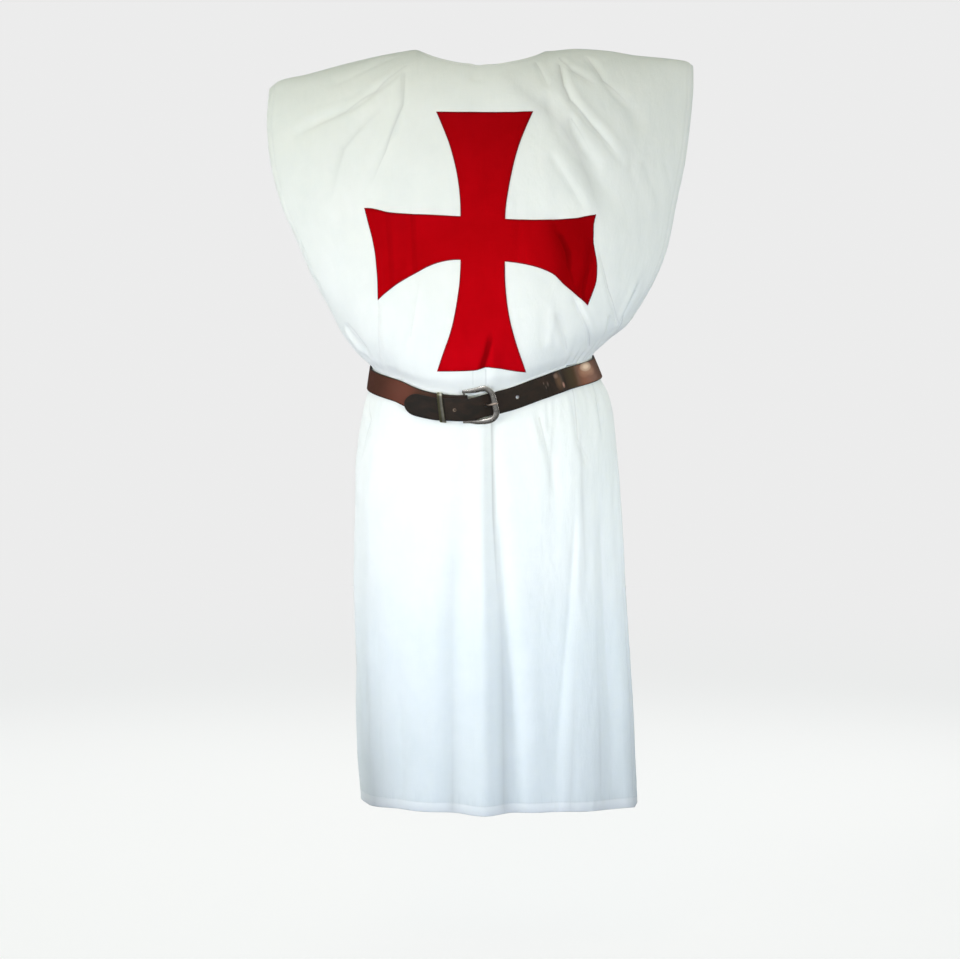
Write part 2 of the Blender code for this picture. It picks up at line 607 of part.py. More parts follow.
def build_strap(parts):
    path, around = strap_path()
    half = BELT_WIDTH / 2
    ups = (-half, -half * 0.55, -0.0026, 0.0026, half * 0.55, half)
    bm, order = new_grid(len(path) - 1, len(ups) - 1)
    columns = len(path)
    tip = path[-1][0]
    for k, (along, out, shift) in enumerate(path):
        wrapped = along + around if along < -around / 2 else along
        left = (along - tip) if along < -around / 2 else 1.0
        room = 0.034
        narrow = 1.0 if left > room else math.sqrt(max(0.10, 1 - (1 - left / room) ** 2))
        for r, up in enumerate(ups[::-1]):
            order[r * columns + k].co = belt_point(wrapped, up * narrow + shift, out)
    # slot for the prong at the fold, and the holes
    slot = []
    for face in bm.faces:
        cells = [divmod(order.index(v), columns) for v in face.verts]
        row, col = min(c[0] for c in cells), min(c[1] for c in cells)
        if row != 2:
            continue
        a0, o0, _ = path[col]
        a1, o1, _ = path[col + 1]
        in_loop = 3 <= col <= 16
        middle = (a0 + a1) / 2 + around
        in_hole = a0 < -around / 2 and any(abs(middle - h) < 0.0015 for h in HOLES)
        if in_loop or in_hole:
            slot.append(face)
    bmesh.ops.delete(bm, geom=slot, context="FACES")
    bmesh.ops.triangulate(bm, faces=bm.faces[:], quad_method="FIXED")

    def outward(co):
        return type(co)((co.x, co.y, 0.0))
    face_out(bm, outward)
    strap = finish(bm, "belt_strap", (0.075, 0.042, 0.030), 0.42, 0.0, parts)
    wall = shell(strap, BELT_THICK, 0.0)
    wall.use_even_offset = True
    wall.thickness_clamp = 0.0


def belt_tube(name, route, radii, closed, parts, side_points=2):
    """A tube along a route given in belt coordinates."""
    curve = bpy.data.curves.new(name, "CURVE")
    curve.dimensions = "3D"
    curve.bevel_depth = 1.0
    curve.bevel_resolution = side_points
    curve.use_fill_caps = not closed
    curve.twist_mode = "MINIMUM"
    spline = curve.splines.new("POLY")
    spline.points.add(len(route) - 1)
    spline.use_cyclic_u = closed
    for point, (along, up, out), radius in zip(spline.points, route, radii):
        x, y, z = belt_point(along, up, out)
        point.co = (x, y, z, 1.0)
        point.radius = radius
    obj = bpy.data.objects.new(name, curve)
    parts.objects.link(obj)
    return obj


def as_mesh(obj, name, parts):
    graph = bpy.context.evaluated_depsgraph_get()
    mesh = bpy.data.meshes.new_from_object(obj.evaluated_get(graph))
    bm = bmesh.new()
    bm.from_mesh(mesh)
    bmesh.ops.remove_doubles(bm, verts=bm.verts[:], dist=0.00002)
    bmesh.ops.recalc_face_normals(bm, faces=bm.faces[:])
    bm.to_mesh(mesh)
    bm.free()
    new = bpy.data.objects.new(name, mesh)
    new.matrix_world = obj.matrix_world.copy()
    bpy.data.objects.remove(obj)
    parts.objects.link(new)
    return new


def build_buckle(parts, cutters):
    """A rounded bow of flat oval metal, closed by a round hinge bar."""
    inner, far = BUCKLE_HALF, BUCKLE_RIGHT
    route, wide = [], []
    for along, up, out, w in (
            (BUCKLE_LEFT - 0.0010, inner - 0.0006, LOOP_CENTRE, 0.0032),
            (BUCKLE_LEFT + 0.0080, inner, 0.0094, 0.0038),
            (BUCKLE_LEFT + 0.0200, inner + 0.0006, 0.0105, 0.0044)):
        route.append((along, up, out))
        wide.append(w)
    corner = 0.0130
    for k in range(1, 6):
        a = math.radians(90 - 90 * k / 6)
        route.append((far - corner + corner * math.cos(a),
                      inner + 0.0006 - corner + corner * math.sin(a), 0.0114))
        wide.append(BOW_WIDE)
    route.append((far, 0.0, 0.0116))
    wide.append(BOW_WIDE)
    for (along, up, out), w in list(zip(route, wide))[-2::-1]:
        route.append((along, -up, out))
        wide.append(w)
    count = len(route)
    sides = 8
    bm, order = new_grid(sides, count - 1)
    for i, ((along, up, out), w) in enumerate(zip(route, wide)):
        before, after = route[max(i - 1, 0)], route[min(i + 1, count - 1)]
        run = np.array([after[0] - before[0], after[1] - before[1]])
        run /= np.linalg.norm(run)
        across = np.array([run[1], -run[0]])
        deep = BOW_DEEP if 1 < i < count - 2 else BOW_DEEP * 0.95
        for j in range(sides + 1):
            a = 2 * math.pi * j / sides
            c, s = math.cos(a), math.sin(a)
            order[i * (sides + 1) + j].co = belt_point(
                along + across[0] * w * c, up + across[1] * w * c, out + deep * s)
    bmesh.ops.remove_doubles(bm, verts=bm.verts[:], dist=0.00002)
    ends = [e for e in bm.edges if e.is_boundary]
    bmesh.ops.holes_fill(bm, edges=ends, sides=0)
    bmesh.ops.triangulate(bm, faces=[f for f in bm.faces if len(f.verts) > 4])
    bmesh.ops.recalc_face_normals(bm, faces=bm.faces[:])
    bow = finish(bm, "buckle_frame", (0.52, 0.51, 0.48), 0.28, 1.0, parts)

    reach = inner - 0.0008
    bar = belt_tube("hinge_bar", [(BUCKLE_LEFT, reach * u, LOOP_CENTRE) for u in (-1, -0.5, 0, 0.5, 1)],
                    [BAR_RADIUS] * 5, False, cutters, 2)
    bar = as_mesh(bar, "hinge_bar", cutters)
    bar.hide_render = True
    bar.display_type = "WIRE"
    join = bow.modifiers.new("Hinge bar", "BOOLEAN")
    join.operation = "UNION"
    join.solver = "EXACT"
    join.object = bar

    # the prong: hooked round the bar, under the tail, up through its hole and
    # over the far side of the bow
    hook = PRONG_RADIUS + BAR_RADIUS + GAP + 0.0001
    path = []
    for angle in np.linspace(-200, 60, 10):
        path.append((BUCKLE_LEFT + hook * math.cos(math.radians(angle + 30)) * 1.0,
                     0.0, LOOP_CENTRE + hook * math.sin(math.radians(angle + 30))))
    path += [(a, 0.0, o) for a, o in PRONG_LINE]
    radii = [PRONG_RADIUS] * (len(path) - 1) + [PRONG_RADIUS * 0.6]
    prong = belt_tube("prong_curve", path, radii, False, parts, 2)
    prong = as_mesh(prong, "buckle_prong", parts)
    prong.data.shade_smooth()
    prong.data.set_sharp_from_angle(angle=math.radians(50))
    paint(prong, "buckle_prong", (0.62, 0.60, 0.56), 0.25, 1.0)


def build_keeper(parts):
    """A flat metal band round the strap and its tail."""
    low, high = BELT_OUT, 0.0106 + BELT_THICK / 2 + GAP
    top, bottom = BELT_WIDTH / 2 + 0.0010, -BELT_WIDTH / 2 - 0.0078
    inner_low = low + KEEPER_WALL
    loop = [(top, inner_low + 0.0002), (top, high - 0.0012), (top - 0.0012, high),
            (0.006, high + 0.0002), (-0.008, high + 0.0002), (bottom + 0.0012, high),
            (bottom, high - 0.0012), (bottom, inner_low + 0.0020), (-0.0185, inner_low),
            (-0.008, inner_low), (0.001, inner_low), (0.010, inner_low)]
    bm, order = new_grid(len(loop), 2)
    for r, along in enumerate((KEEPER_LEFT, (KEEPER_LEFT + KEEPER_RIGHT) / 2, KEEPER_RIGHT)):
        for k in range(len(loop) + 1):
            up, out = loop[k % len(loop)]
            order[r * (len(loop) + 1) + k].co = belt_point(along - KEEPER_LEAN * up, up, out)
    bmesh.ops.remove_doubles(bm, verts=bm.verts[:], dist=0.00002)
    centre = belt_point((KEEPER_LEFT + KEEPER_RIGHT) / 2, -0.003, 0.0085)
    face_out(bm, lambda c: c - type(c)(centre))
    keeper = finish(bm, "belt_keeper", (0.30, 0.27, 0.23), 0.35, 1.0, parts)
    wall = shell(keeper, KEEPER_WALL, 1.0)
    wall.use_even_offset = True


def main():
    for obj in list(bpy.data.objects):
        bpy.data.objects.remove(obj)
    parts = bpy.data.collections.new("medieval_surcoat")
    cutters = bpy.data.collections.new("cutters")
    for collection in (parts, cutters):
        bpy.context.scene.collection.children.link(collection)
    build_panels(parts)
    build_strap(parts)
    build_buckle(parts, cutters)
    build_keeper(parts)
    bpy.context.view_layer.update()


main()
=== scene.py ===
"""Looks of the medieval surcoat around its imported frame.

Metres, +Z up, the front faces -Y.  The cloth, cross, belt and fittings are
built from the same surface as the model: a worn panel is a stack of level
sections, and every thread crossing (across, down) of the cut has its place.
"""
import json
import math

import bmesh
import bpy
import numpy as np
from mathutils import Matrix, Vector

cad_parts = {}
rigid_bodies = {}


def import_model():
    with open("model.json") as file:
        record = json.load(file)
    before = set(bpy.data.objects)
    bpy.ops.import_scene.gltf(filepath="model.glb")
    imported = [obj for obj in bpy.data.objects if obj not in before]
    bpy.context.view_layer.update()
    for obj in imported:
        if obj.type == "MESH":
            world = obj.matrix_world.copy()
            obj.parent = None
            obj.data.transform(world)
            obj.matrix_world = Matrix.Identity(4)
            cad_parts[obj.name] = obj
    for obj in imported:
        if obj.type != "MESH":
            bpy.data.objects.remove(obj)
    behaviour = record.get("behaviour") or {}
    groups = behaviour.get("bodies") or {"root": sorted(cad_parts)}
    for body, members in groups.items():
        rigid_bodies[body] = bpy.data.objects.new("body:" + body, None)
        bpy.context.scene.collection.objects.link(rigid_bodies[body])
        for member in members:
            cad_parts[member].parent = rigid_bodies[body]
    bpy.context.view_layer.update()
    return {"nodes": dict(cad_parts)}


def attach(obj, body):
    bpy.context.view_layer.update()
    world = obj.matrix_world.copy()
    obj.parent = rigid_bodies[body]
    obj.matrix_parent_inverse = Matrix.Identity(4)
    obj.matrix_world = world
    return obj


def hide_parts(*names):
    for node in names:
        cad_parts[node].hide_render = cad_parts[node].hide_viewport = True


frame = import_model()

# ================================================================ sizes (m)
HALF_WIDTH = 0.345
CUT_LENGTH = 1.265
CLOTH = 0.0020
SEAM = 0.0003
NECK_HALF = 0.104
NECK_DROP_FRONT = 0.087
NECK_DROP_BACK = 0.072
SHOULDER_RISE = 0.110
SHOULDER_RADIUS = 0.115
FLAT_CENTRE = 0.080
EDGE_GAP = 0.003

CROSS_TOP = 0.176
CROSS_MIDDLE = 0.371
CROSS_BOTTOM = 0.573
# outline of the cross in the cut cloth, hand cut and a little uneven
CROSS_LEFT_SIDE = (
    (0.170, -0.0708), (0.197, -0.0600), (0.222, -0.0507), (0.247, -0.0436), (0.272, -0.0382),
    (0.297, -0.0347), (0.322, -0.0330), (0.345, -0.0328), (0.402, -0.0328), (0.432, -0.0342),
    (0.462, -0.0380), (0.495, -0.0440), (0.518, -0.0502), (0.542, -0.0588), (0.575, -0.0700),
)
CROSS_RIGHT_SIDE = (
    (0.170, 0.0790), (0.197, 0.0675), (0.222, 0.0580), (0.247, 0.0505), (0.272, 0.0448),
    (0.297, 0.0402), (0.322, 0.0367), (0.340, 0.0356), (0.405, 0.0352), (0.432, 0.0356),
    (0.462, 0.0380), (0.495, 0.0432), (0.520, 0.0497), (0.545, 0.0575), (0.575, 0.0680),
)
CROSS_LEFT_END = (
    (0.290, -0.1912), (0.322, -0.1862), (0.347, -0.1822), (0.372, -0.1800), (0.397, -0.1806),
    (0.420, -0.1824), (0.445, -0.1852),
)
CROSS_RIGHT_END = (
    (0.303, 0.1866), (0.320, 0.1834), (0.340, 0.1850), (0.360, 0.1902), (0.378, 0.1954),
    (0.400, 0.1976), (0.425, 0.1938), (0.454, 0.1872),
)
CROSS_ARM_TOP = (
    (-0.1912, 0.2915), (-0.178, 0.2965), (-0.165, 0.3030), (-0.148, 0.3115), (-0.110, 0.3225),
    (-0.062, 0.3315), (-0.033, 0.3352), (0.000, 0.3375), (0.037, 0.3392), (0.072, 0.3368),
    (0.120, 0.3280), (0.150, 0.3196), (0.170, 0.3108), (0.187, 0.3035),
)
CROSS_ARM_FOOT = (
    (-0.185, 0.4445), (-0.162, 0.4350), (-0.140, 0.4268), (-0.103, 0.4155), (-0.080, 0.4075),
    (-0.062, 0.4032), (-0.045, 0.4016), (-0.033, 0.4020), (0.000, 0.4035), (0.037, 0.4045),
    (0.065, 0.4062), (0.092, 0.4096), (0.114, 0.4150), (0.133, 0.4270), (0.158, 0.4395),
    (0.188, 0.4540),
)
CROSS_HEAD_LINE = (
    (-0.071, 0.1706), (-0.033, 0.1748), (0.005, 0.1760), (0.042, 0.1748), (0.080, 0.1702),
)
CROSS_FOOT_LINE = (
    (-0.070, 0.5742), (-0.033, 0.5732), (-0.012, 0.5724), (-0.004, 0.5710), (0.003, 0.5686),
    (0.009, 0.5673), (0.018, 0.5678), (0.031, 0.5702), (0.048, 0.5731), (0.068, 0.5752),
)

BELT_WIDTH = 0.035
BELT_THICK = 0.0030
BELT_OUT = 0.0031
BAR_RADIUS = 0.0020
BUCKLE_LEFT = -0.0265
BUCKLE_RIGHT = 0.0192
BUCKLE_HALF = 0.0232
BOW_WIDE = 0.0048
BOW_DEEP = 0.0021
KEEPER_LEFT, KEEPER_RIGHT = -0.0665, -0.0577
KEEPER_WALL = 0.0012
KEEPER_LEAN = 0.21

SHEET = 0.0008            # one layer of the cotton
HEM = 0.0022              # where it is turned in twice
HEM_WIDTH = 0.015         # bottom hem, edge to stitches
SIDE_HEM = 0.0095
NECK_HEM = 0.0048

# level sections of the panels, as in the model
FRONT_SECTIONS = (
    (0.0500, -0.337, 0.338, -0.120, -0.045, -0.045, 48, 48),
    (-0.0600, -0.339, 0.335, -0.120, -0.045, -0.045, 48, 48),
    (-0.1100, -0.341, 0.330, -0.122, -0.045, -0.045, 48, 48),
    (-0.1700, -0.335, 0.322, -0.132, -0.048, -0.048, 50, 50),
    (-0.2400, -0.318, 0.308, -0.140, -0.052, -0.052, 54, 54),
    (-0.3000, -0.292, 0.296, -0.145, -0.055, -0.055, 60, 58),
    (-0.3700, -0.266, 0.278, -0.149, -0.055, -0.056, 66, 64),
    (-0.4300, -0.243, 0.258, -0.151, -0.048, -0.050, 73, 70),
    (-0.4750, -0.2225, 0.2360, -0.147, -0.034, -0.036, 79, 77),
    (-0.5110, -0.1980, 0.1990, -0.137, -0.012, -0.012, 86, 86),
    (-0.5385, -0.1740, 0.1745, -0.1200, -0.001, -0.001, 90, 90),
    (-0.5560, -0.1765, 0.1815, -0.1190, -0.001, -0.001, 90, 90),
    (-0.5735, -0.1790, 0.1885, -0.1190, -0.001, -0.001, 90, 90),
    (-0.5950, -0.1855, 0.2005, -0.1200, -0.002, -0.008, 91, 88),
    (-0.6300, -0.1925, 0.2090, -0.1290, -0.005, -0.022, 92, 84),
    (-0.7000, -0.2010, 0.2160, -0.1385, -0.012, -0.050, 94, 75),
    (-0.8500, -0.2030, 0.2285, -0.1460, -0.020, -0.078, 97, 66),
    (-1.0200, -0.2010, 0.2400, -0.1500, -0.024, -0.094, 97, 60),
    (-1.2100, -0.1930, 0.2500, -0.1500, -0.030, -0.104, 97, 56),
)
BACK_SECTIONS = (
    (0.0500, -0.333, 0.334, 0.105, 0.045, 0.045, 46, 46),
    (-0.0600, -0.334, 0.330, 0.106, 0.045, 0.045, 46, 46),
    (-0.1100, -0.335, 0.325, 0.112, 0.046, 0.046, 46, 46),
    (-0.1700, -0.329, 0.316, 0.119, 0.048, 0.048, 48, 48),
    (-0.2400, -0.311, 0.302, 0.124, 0.052, 0.052, 52, 52),
    (-0.3000, -0.285, 0.289, 0.126, 0.055, 0.055, 58, 56),
    (-0.3700, -0.259, 0.271, 0.126, 0.055, 0.056, 64, 62),
    (-0.4300, -0.237, 0.252, 0.124, 0.048, 0.050, 71, 68),
    (-0.4750, -0.2180, 0.2310, 0.119, 0.034, 0.036, 78, 76),
    (-0.5110, -0.1950, 0.1960, 0.111, 0.012, 0.012, 86, 86),
    (-0.5385, -0.1740, 0.1745, 0.1040, 0.001, 0.001, 90, 90),
    (-0.5560, -0.1765, 0.1815, 0.1040, 0.001, 0.001, 90, 90),
    (-0.5735, -0.1790, 0.1885, 0.1040, 0.001, 0.001, 90, 90),
    (-0.5950, -0.1855, 0.1975, 0.1100, 0.002, 0.002, 90, 90),
    (-0.6300, -0.1905, 0.2035, 0.1190, 0.005, 0.006, 91, 90),
    (-0.7000, -0.1970, 0.2085, 0.1310, 0.012, 0.014, 92, 88),
    (-0.8500, -0.1985, 0.2180, 0.1420, 0.016, 0.022, 93, 86),
    (-1.0200, -0.1965, 0.2240, 0.1470, 0.020, 0.026, 93, 84),
    (-1.2100, -0.1890, 0.2300, 0.1490, 0.024, 0.030, 93, 82),
)
SECTION_COLUMNS = ("level", "left", "right", "middle", "y_left", "y_right",
                   "turn_left", "turn_right")
BELT_LEVEL = -0.556
FOLLOW = (-0.30, -0.42, -0.66, -0.90)
RIDGE = (
    (-0.345, -0.0600), (-0.332, -0.0500), (-0.320, -0.0455), (-0.286, -0.0390),
    (-0.210, -0.0200), (-0.133, -0.0040), (-0.104, 0.0000), (0.000, 0.0010),
    (0.104, -0.0020), (0.150, 0.0015), (0.197, -0.0010), (0.248, -0.0085),
    (0.300, -0.0130), (0.330, -0.0166), (0.338, -0.0190), (0.345, -0.0240),
)
FRONT_DROOP = (
    (0.000, 0.105, 0.075), (0.180, 0.105, 0.082), (0.371, 0.090, 0.104),
    (0.500, 0.045, 0.030), (0.625, -0.037, -0.053), (0.900, -0.010, -0.015),
    (1.265, 0.000, 0.000),
)
BACK_DROOP = (
    (0.000, 0.105, 0.075), (0.180, 0.105, 0.080), (0.371, 0.092, 0.085),
    (0.470, 0.055, 0.040), (0.555, 0.034, 0.018), (0.720, 0.012, 0.008),
    (1.265, 0.000, 0.000),
)
BELT_ROWS = (-0.5365, -0.5755)
BELT_LINE = (
    (-180, -0.484), (-135, -0.497), (-90, -0.518), (-48, -0.5360), (-38, -0.5458),
    (-29, -0.5528), (-20, -0.5568), (-12, -0.5582), (0, -0.5567), (12, -0.5490), (30, -0.5310),
    (51, -0.5150), (90, -0.5020), (135, -0.4880), (180, -0.4840),
)
# the large folds, as in the model: s0, t0, s1, t1, w0, w1, lift0, lift1
FRONT_FOLDS = (
    (0.000, 0.690, 0.003, 1.265, 0.010, 0.028, 0.004, 0.018),
    (0.023, 0.650, 0.050, 1.265, 0.012, 0.022, -0.002, -0.008),
    (-0.026, 0.760, -0.052, 1.265, 0.015, 0.024, -0.002, -0.006),
    (-0.150, 0.880, -0.160, 1.265, 0.020, 0.030, -0.002, -0.005),
    (-0.235, 0.800, -0.235, 1.265, 0.020, 0.030, 0.002, 0.005),
    (0.120, 0.720, 0.130, 1.265, 0.024, 0.034, -0.001, -0.004),
    (0.185, 0.700, 0.205, 1.265, 0.026, 0.034, 0.001, 0.003),
    (0.255, 0.760, 0.270, 1.265, 0.024, 0.030, -0.001, -0.004),
    (-0.135, 0.130, -0.225, 0.310, 0.016, 0.026, -0.002, -0.004),
    (-0.165, 0.112, -0.290, 0.136, 0.010, 0.014, -0.0015, -0.0025),
    (0.112, 0.150, 0.215, 0.275, 0.016, 0.024, -0.002, -0.003),
    (0.170, 0.070, 0.255, 0.150, 0.012, 0.016, -0.002, -0.003),
)
BACK_FOLDS = (
    (0.000, 0.690, 0.012, 1.265, 0.016, 0.034, 0.003, 0.015),
    (-0.055, 0.700, -0.075, 1.265, 0.014, 0.022, -0.003, -0.012),
    (0.060, 0.690, 0.090, 1.265, 0.014, 0.022, -0.003, -0.013),
    (-0.160, 0.780, -0.175, 1.265, 0.018, 0.026, -0.003, -0.014),
    (0.170, 0.760, 0.190, 1.265, 0.018, 0.026, -0.003, -0.012),
    (0.250, 0.800, 0.262, 1.265, 0.018, 0.024, 0.002, 0.007),
    (-0.130, 0.100, -0.225, 0.340, 0.018, 0.026, -0.003, -0.009),
    (0.130, 0.100, 0.225, 0.340, 0.018, 0.026, -0.003, -0.009),
)
PLEAT_DEPTH = 0.0065
PLEAT_REACH = 0.075

# ------------------------------------------------ creases, in cut coordinates
# valley depth, half width at both ends, ridge height, ridge side (+1 to the
# right of the direction of travel), points (across, down)
FRONT_CREASES = (
    # left neck end, fanning out over the shoulder
    (0.0034, 0.0045, 0.0065, 0.0016, 1, ((-0.118, 0.075), (-0.145, 0.105), (-0.165, 0.115), (-0.185, 0.127), (-0.208, 0.132), (-0.260, 0.130), (-0.318, 0.137))),
    (0.0036, 0.0045, 0.0070, 0.0016, 1, ((-0.119, 0.080), (-0.120, 0.112), (-0.121, 0.147), (-0.130, 0.190), (-0.150, 0.217), (-0.165, 0.242), (-0.178, 0.270))),
    (0.0030, 0.014, 0.026, 0.0014, 1, ((-0.160, 0.235), (-0.185, 0.285), (-0.232, 0.340), (-0.292, 0.397))),
    (0.0030, 0.009, 0.015, 0.0014, 1, ((-0.150, 0.145), (-0.212, 0.182), (-0.222, 0.202), (-0.240, 0.250))),
    (0.0014, 0.007, 0.012, 0.0008, 1, ((-0.130, 0.045), (-0.190, 0.070), (-0.250, 0.080))),
    # right neck end
    (0.0022, 0.004, 0.006, 0.0010, -1, ((0.082, 0.070), (0.092, 0.105), (0.104, 0.132))),
    (0.0052, 0.0045, 0.0080, 0.0026, -1, ((0.118, 0.062), (0.122, 0.087), (0.126, 0.117), (0.137, 0.142), (0.165, 0.170), (0.190, 0.187), (0.212, 0.207), (0.238, 0.224))),
    (0.0030, 0.004, 0.007, 0.0012, -1, ((0.118, 0.058), (0.137, 0.090), (0.155, 0.100), (0.182, 0.114))),
    (0.0032, 0.0045, 0.0080, 0.0014, -1, ((0.158, 0.048), (0.175, 0.075), (0.190, 0.100), (0.215, 0.122), (0.252, 0.136))),
    (0.0034, 0.005, 0.008, 0.0014, -1, ((0.137, 0.160), (0.145, 0.192), (0.160, 0.212), (0.192, 0.240))),
    (0.0040, 0.013, 0.020, 0.0014, -1, ((0.098, 0.128), (0.108, 0.170), (0.118, 0.196), (0.140, 0.220), (0.175, 0.245), (0.232, 0.282))),
    (0.0026, 0.006, 0.009, 0.0010, -1, ((0.103, 0.228), (0.135, 0.270), (0.155, 0.290), (0.172, 0.312))),
    # crumple beside the right wing edge
    (0.0011, 0.007, 0.010, 0.0007, 1, ((0.262, 0.195), (0.292, 0.228), (0.324, 0.254))),
    (0.0009, 0.006, 0.009, 0.0006, 1, ((0.302, 0.180), (0.326, 0.212), (0.340, 0.238))),
    # above the belt, left
    (0.0050, 0.007, 0.006, 0.0028, 1, ((-0.300, 0.446), (-0.283, 0.478), (-0.262, 0.512), (-0.238, 0.548))),
    (0.0026, 0.006, 0.005, 0.0014, -1, ((-0.182, 0.440), (-0.190, 0.495), (-0.198, 0.552))),
    (0.0030, 0.008, 0.006, 0.0014, -1, ((-0.100, 0.435), (-0.118, 0.500), (-0.136, 0.556))),
    # above the belt, right
    (0.0032, 0.0045, 0.0050, 0.0014, 1, ((0.190, 0.345), (0.212, 0.380), (0.245, 0.430), (0.300, 0.478))),
    (0.0052, 0.0055, 0.0060, 0.0028, 1, ((0.303, 0.352), (0.298, 0.392), (0.294, 0.440), (0.310, 0.500))),
    (0.0034, 0.006, 0.006, 0.0018, 1, ((0.246, 0.450), (0.262, 0.492), (0.280, 0.540))),
    (0.0034, 0.006, 0.006, 0.0018, 1, ((0.122, 0.475), (0.138, 0.508), (0.153, 0.548))),
    (0.0040, 0.006, 0.006, 0.0020, -1, ((0.150, 0.440), (0.168, 0.467), (0.192, 0.495), (0.232, 0.548))),
    (0.0024, 0.006, 0.006, 0.0012, -1, ((0.102, 0.462), (0.100, 0.500), (0.097, 0.545))),
    # foot of the cross
    (0.0034, 0.006, 0.008, 0.0014, -1, ((0.015, 0.505), (0.012, 0.530), (0.005, 0.555), (-0.001, 0.610))),
    (0.0014, 0.006, 0.010, 0.0008, -1, ((0.020, 0.508), (0.024, 0.535), (0.030, 0.565), (0.034, 0.605))),
    # right arm of the cross
    (0.0070, 0.012, 0.018, 0.0030, -1, ((0.106, 0.322), (0.128, 0.356), (0.143, 0.390), (0.158, 0.450))),
    (0.0044, 0.006, 0.009, 0.0016, 1, ((0.184, 0.330), (0.180, 0.375), (0.173, 0.415), (0.163, 0.462))),
    # faint lines across the left arm
    (0.0022, 0.004, 0.006, 0.0008, 1, ((-0.153, 0.318), (-0.150, 0.350), (-0.149, 0.400), (-0.150, 0.428))),
    (0.0016, 0.004, 0.006, 0.0006, -1, ((-0.108, 0.310), (-0.106, 0.350), (-0.104, 0.410))),
    (0.0016, 0.004, 0.006, 0.0006, -1, ((0.055, 0.300), (0.056, 0.350), (0.055, 0.425))),
    # notch below the neckline
    (0.0030, 0.005, 0.008, 0.0014, 1, ((-0.005, 0.080), (-0.008, 0.100), (-0.012, 0.130))),
    # skirt: the central fold and its neighbours
    (0.0052, 0.007, 0.020, 0.0026, -1, ((0.012, 0.640), (0.017, 0.805), (0.027, 0.945), (0.040, 1.085), (0.047, 1.280))),
    (0.0022, 0.010, 0.014, 0.0010, 1, ((-0.032, 0.810), (-0.043, 0.992), (-0.048, 1.135), (-0.048, 1.280))),
    (0.0022, 0.010, 0.014, 0.0008, 1, ((-0.150, 1.080), (-0.147, 1.180), (-0.145, 1.280))),
    (0.0020, 0.010, 0.014, 0.0010, 1, ((-0.205, 0.960), (-0.204, 1.120), (-0.202, 1.280))),
    (0.0026, 0.010, 0.014, 0.0012, 1, ((-0.244, 1.030), (-0.241, 1.140), (-0.238, 1.250))),
    (0.0024, 0.006, 0.010, 0.0012, 1, ((-0.312, 0.645), (-0.275, 0.662), (-0.264, 0.684), (-0.288, 0.750))),
    (0.0026, 0.005, 0.009, 0.0012, 1, ((0.086, 0.636), (0.095, 0.664), (0.117, 0.717), (0.130, 0.780))),
    (0.0018, 0.005, 0.006, 0.0008, 1, ((0.112, 0.625), (0.114, 0.655), (0.116, 0.678))),
    (0.0030, 0.005, 0.009, 0.0014, 1, ((0.180, 0.622), (0.182, 0.657), (0.188, 0.695), (0.205, 0.717), (0.234, 0.748))),
    (0.0026, 0.005, 0.009, 0.0012, 1, ((0.260, 0.628), (0.262, 0.664), (0.276, 0.712))),
    (0.0036, 0.009, 0.016, 0.0014, -1, ((0.180, 0.790), (0.170, 0.905), (0.158, 0.995), (0.138, 1.135), (0.125, 1.280))),
    (0.0028, 0.012, 0.018, 0.0012, 1, ((0.262, 0.780), (0.268, 1.000), (0.276, 1.280))),
)
BACK_CREASES = (
    (0.0042, 0.007, 0.014, 0.0022, 1, ((-0.112, 0.048), (-0.130, 0.110), (-0.170, 0.190), (-0.225, 0.275))),
    (0.0036, 0.007, 0.014, 0.0018, 1, ((-0.122, 0.050), (-0.165, 0.095), (-0.245, 0.135))),
    (0.0042, 0.007, 0.014, 0.0022, -1, ((0.112, 0.048), (0.132, 0.115), (0.175, 0.195), (0.232, 0.270))),
    (0.0036, 0.007, 0.014, 0.0018, -1, ((0.122, 0.052), (0.170, 0.098), (0.250, 0.140))),
    (0.0030, 0.010, 0.018, 0.0014, 1, ((-0.060, 0.120), (-0.075, 0.220), (-0.110, 0.330))),
    (0.0030, 0.010, 0.018, 0.0014, -1, ((0.070, 0.110), (0.088, 0.230), (0.120, 0.350))),
    (0.0050, 0.014, 0.009, 0.0024, 1, ((-0.275, 0.330), (-0.250, 0.400), (-0.215, 0.470))),
    (0.0050, 0.014, 0.009, 0.0024, -1, ((0.285, 0.330), (0.255, 0.400), (0.220, 0.465))),
    (0.0042, 0.012, 0.008, 0.0020, 1, ((-0.180, 0.370), (-0.160, 0.430), (-0.145, 0.500))),
    (0.0042, 0.012, 0.008, 0.0020, -1, ((0.175, 0.360), (0.165, 0.430), (0.150, 0.500))),
    (0.0034, 0.010, 0.007, 0.0016, 1, ((-0.070, 0.400), (-0.066, 0.450), (-0.062, 0.500))),
    (0.0034, 0.010, 0.007, 0.0016, -1, ((0.040, 0.390), (0.046, 0.450), (0.050, 0.500))),
    (0.0050, 0.009, 0.020, 0.0024, 1, ((-0.050, 0.590), (-0.060, 0.780), (-0.072, 1.000), (-0.080, 1.280))),
    (0.0050, 0.009, 0.020, 0.0024, -1, ((0.046, 0.590), (0.060, 0.780), (0.078, 1.000), (0.092, 1.280))),
    (0.0044, 0.009, 0.018, 0.0020, 1, ((-0.150, 0.590), (-0.158, 0.760), (-0.170, 1.000), (-0.180, 1.280))),
    (0.0044, 0.009, 0.018, 0.0020, -1, ((0.148, 0.590), (0.160, 0.760), (0.178, 1.000), (0.192, 1.280))),
    (0.0038, 0.009, 0.016, 0.0018, 1, ((-0.235, 0.590), (-0.250, 0.720), (-0.262, 0.900))),
    (0.0038, 0.009, 0.016, 0.0018, -1, ((0.238, 0.590), (0.252, 0.720), (0.266, 0.900))),
)

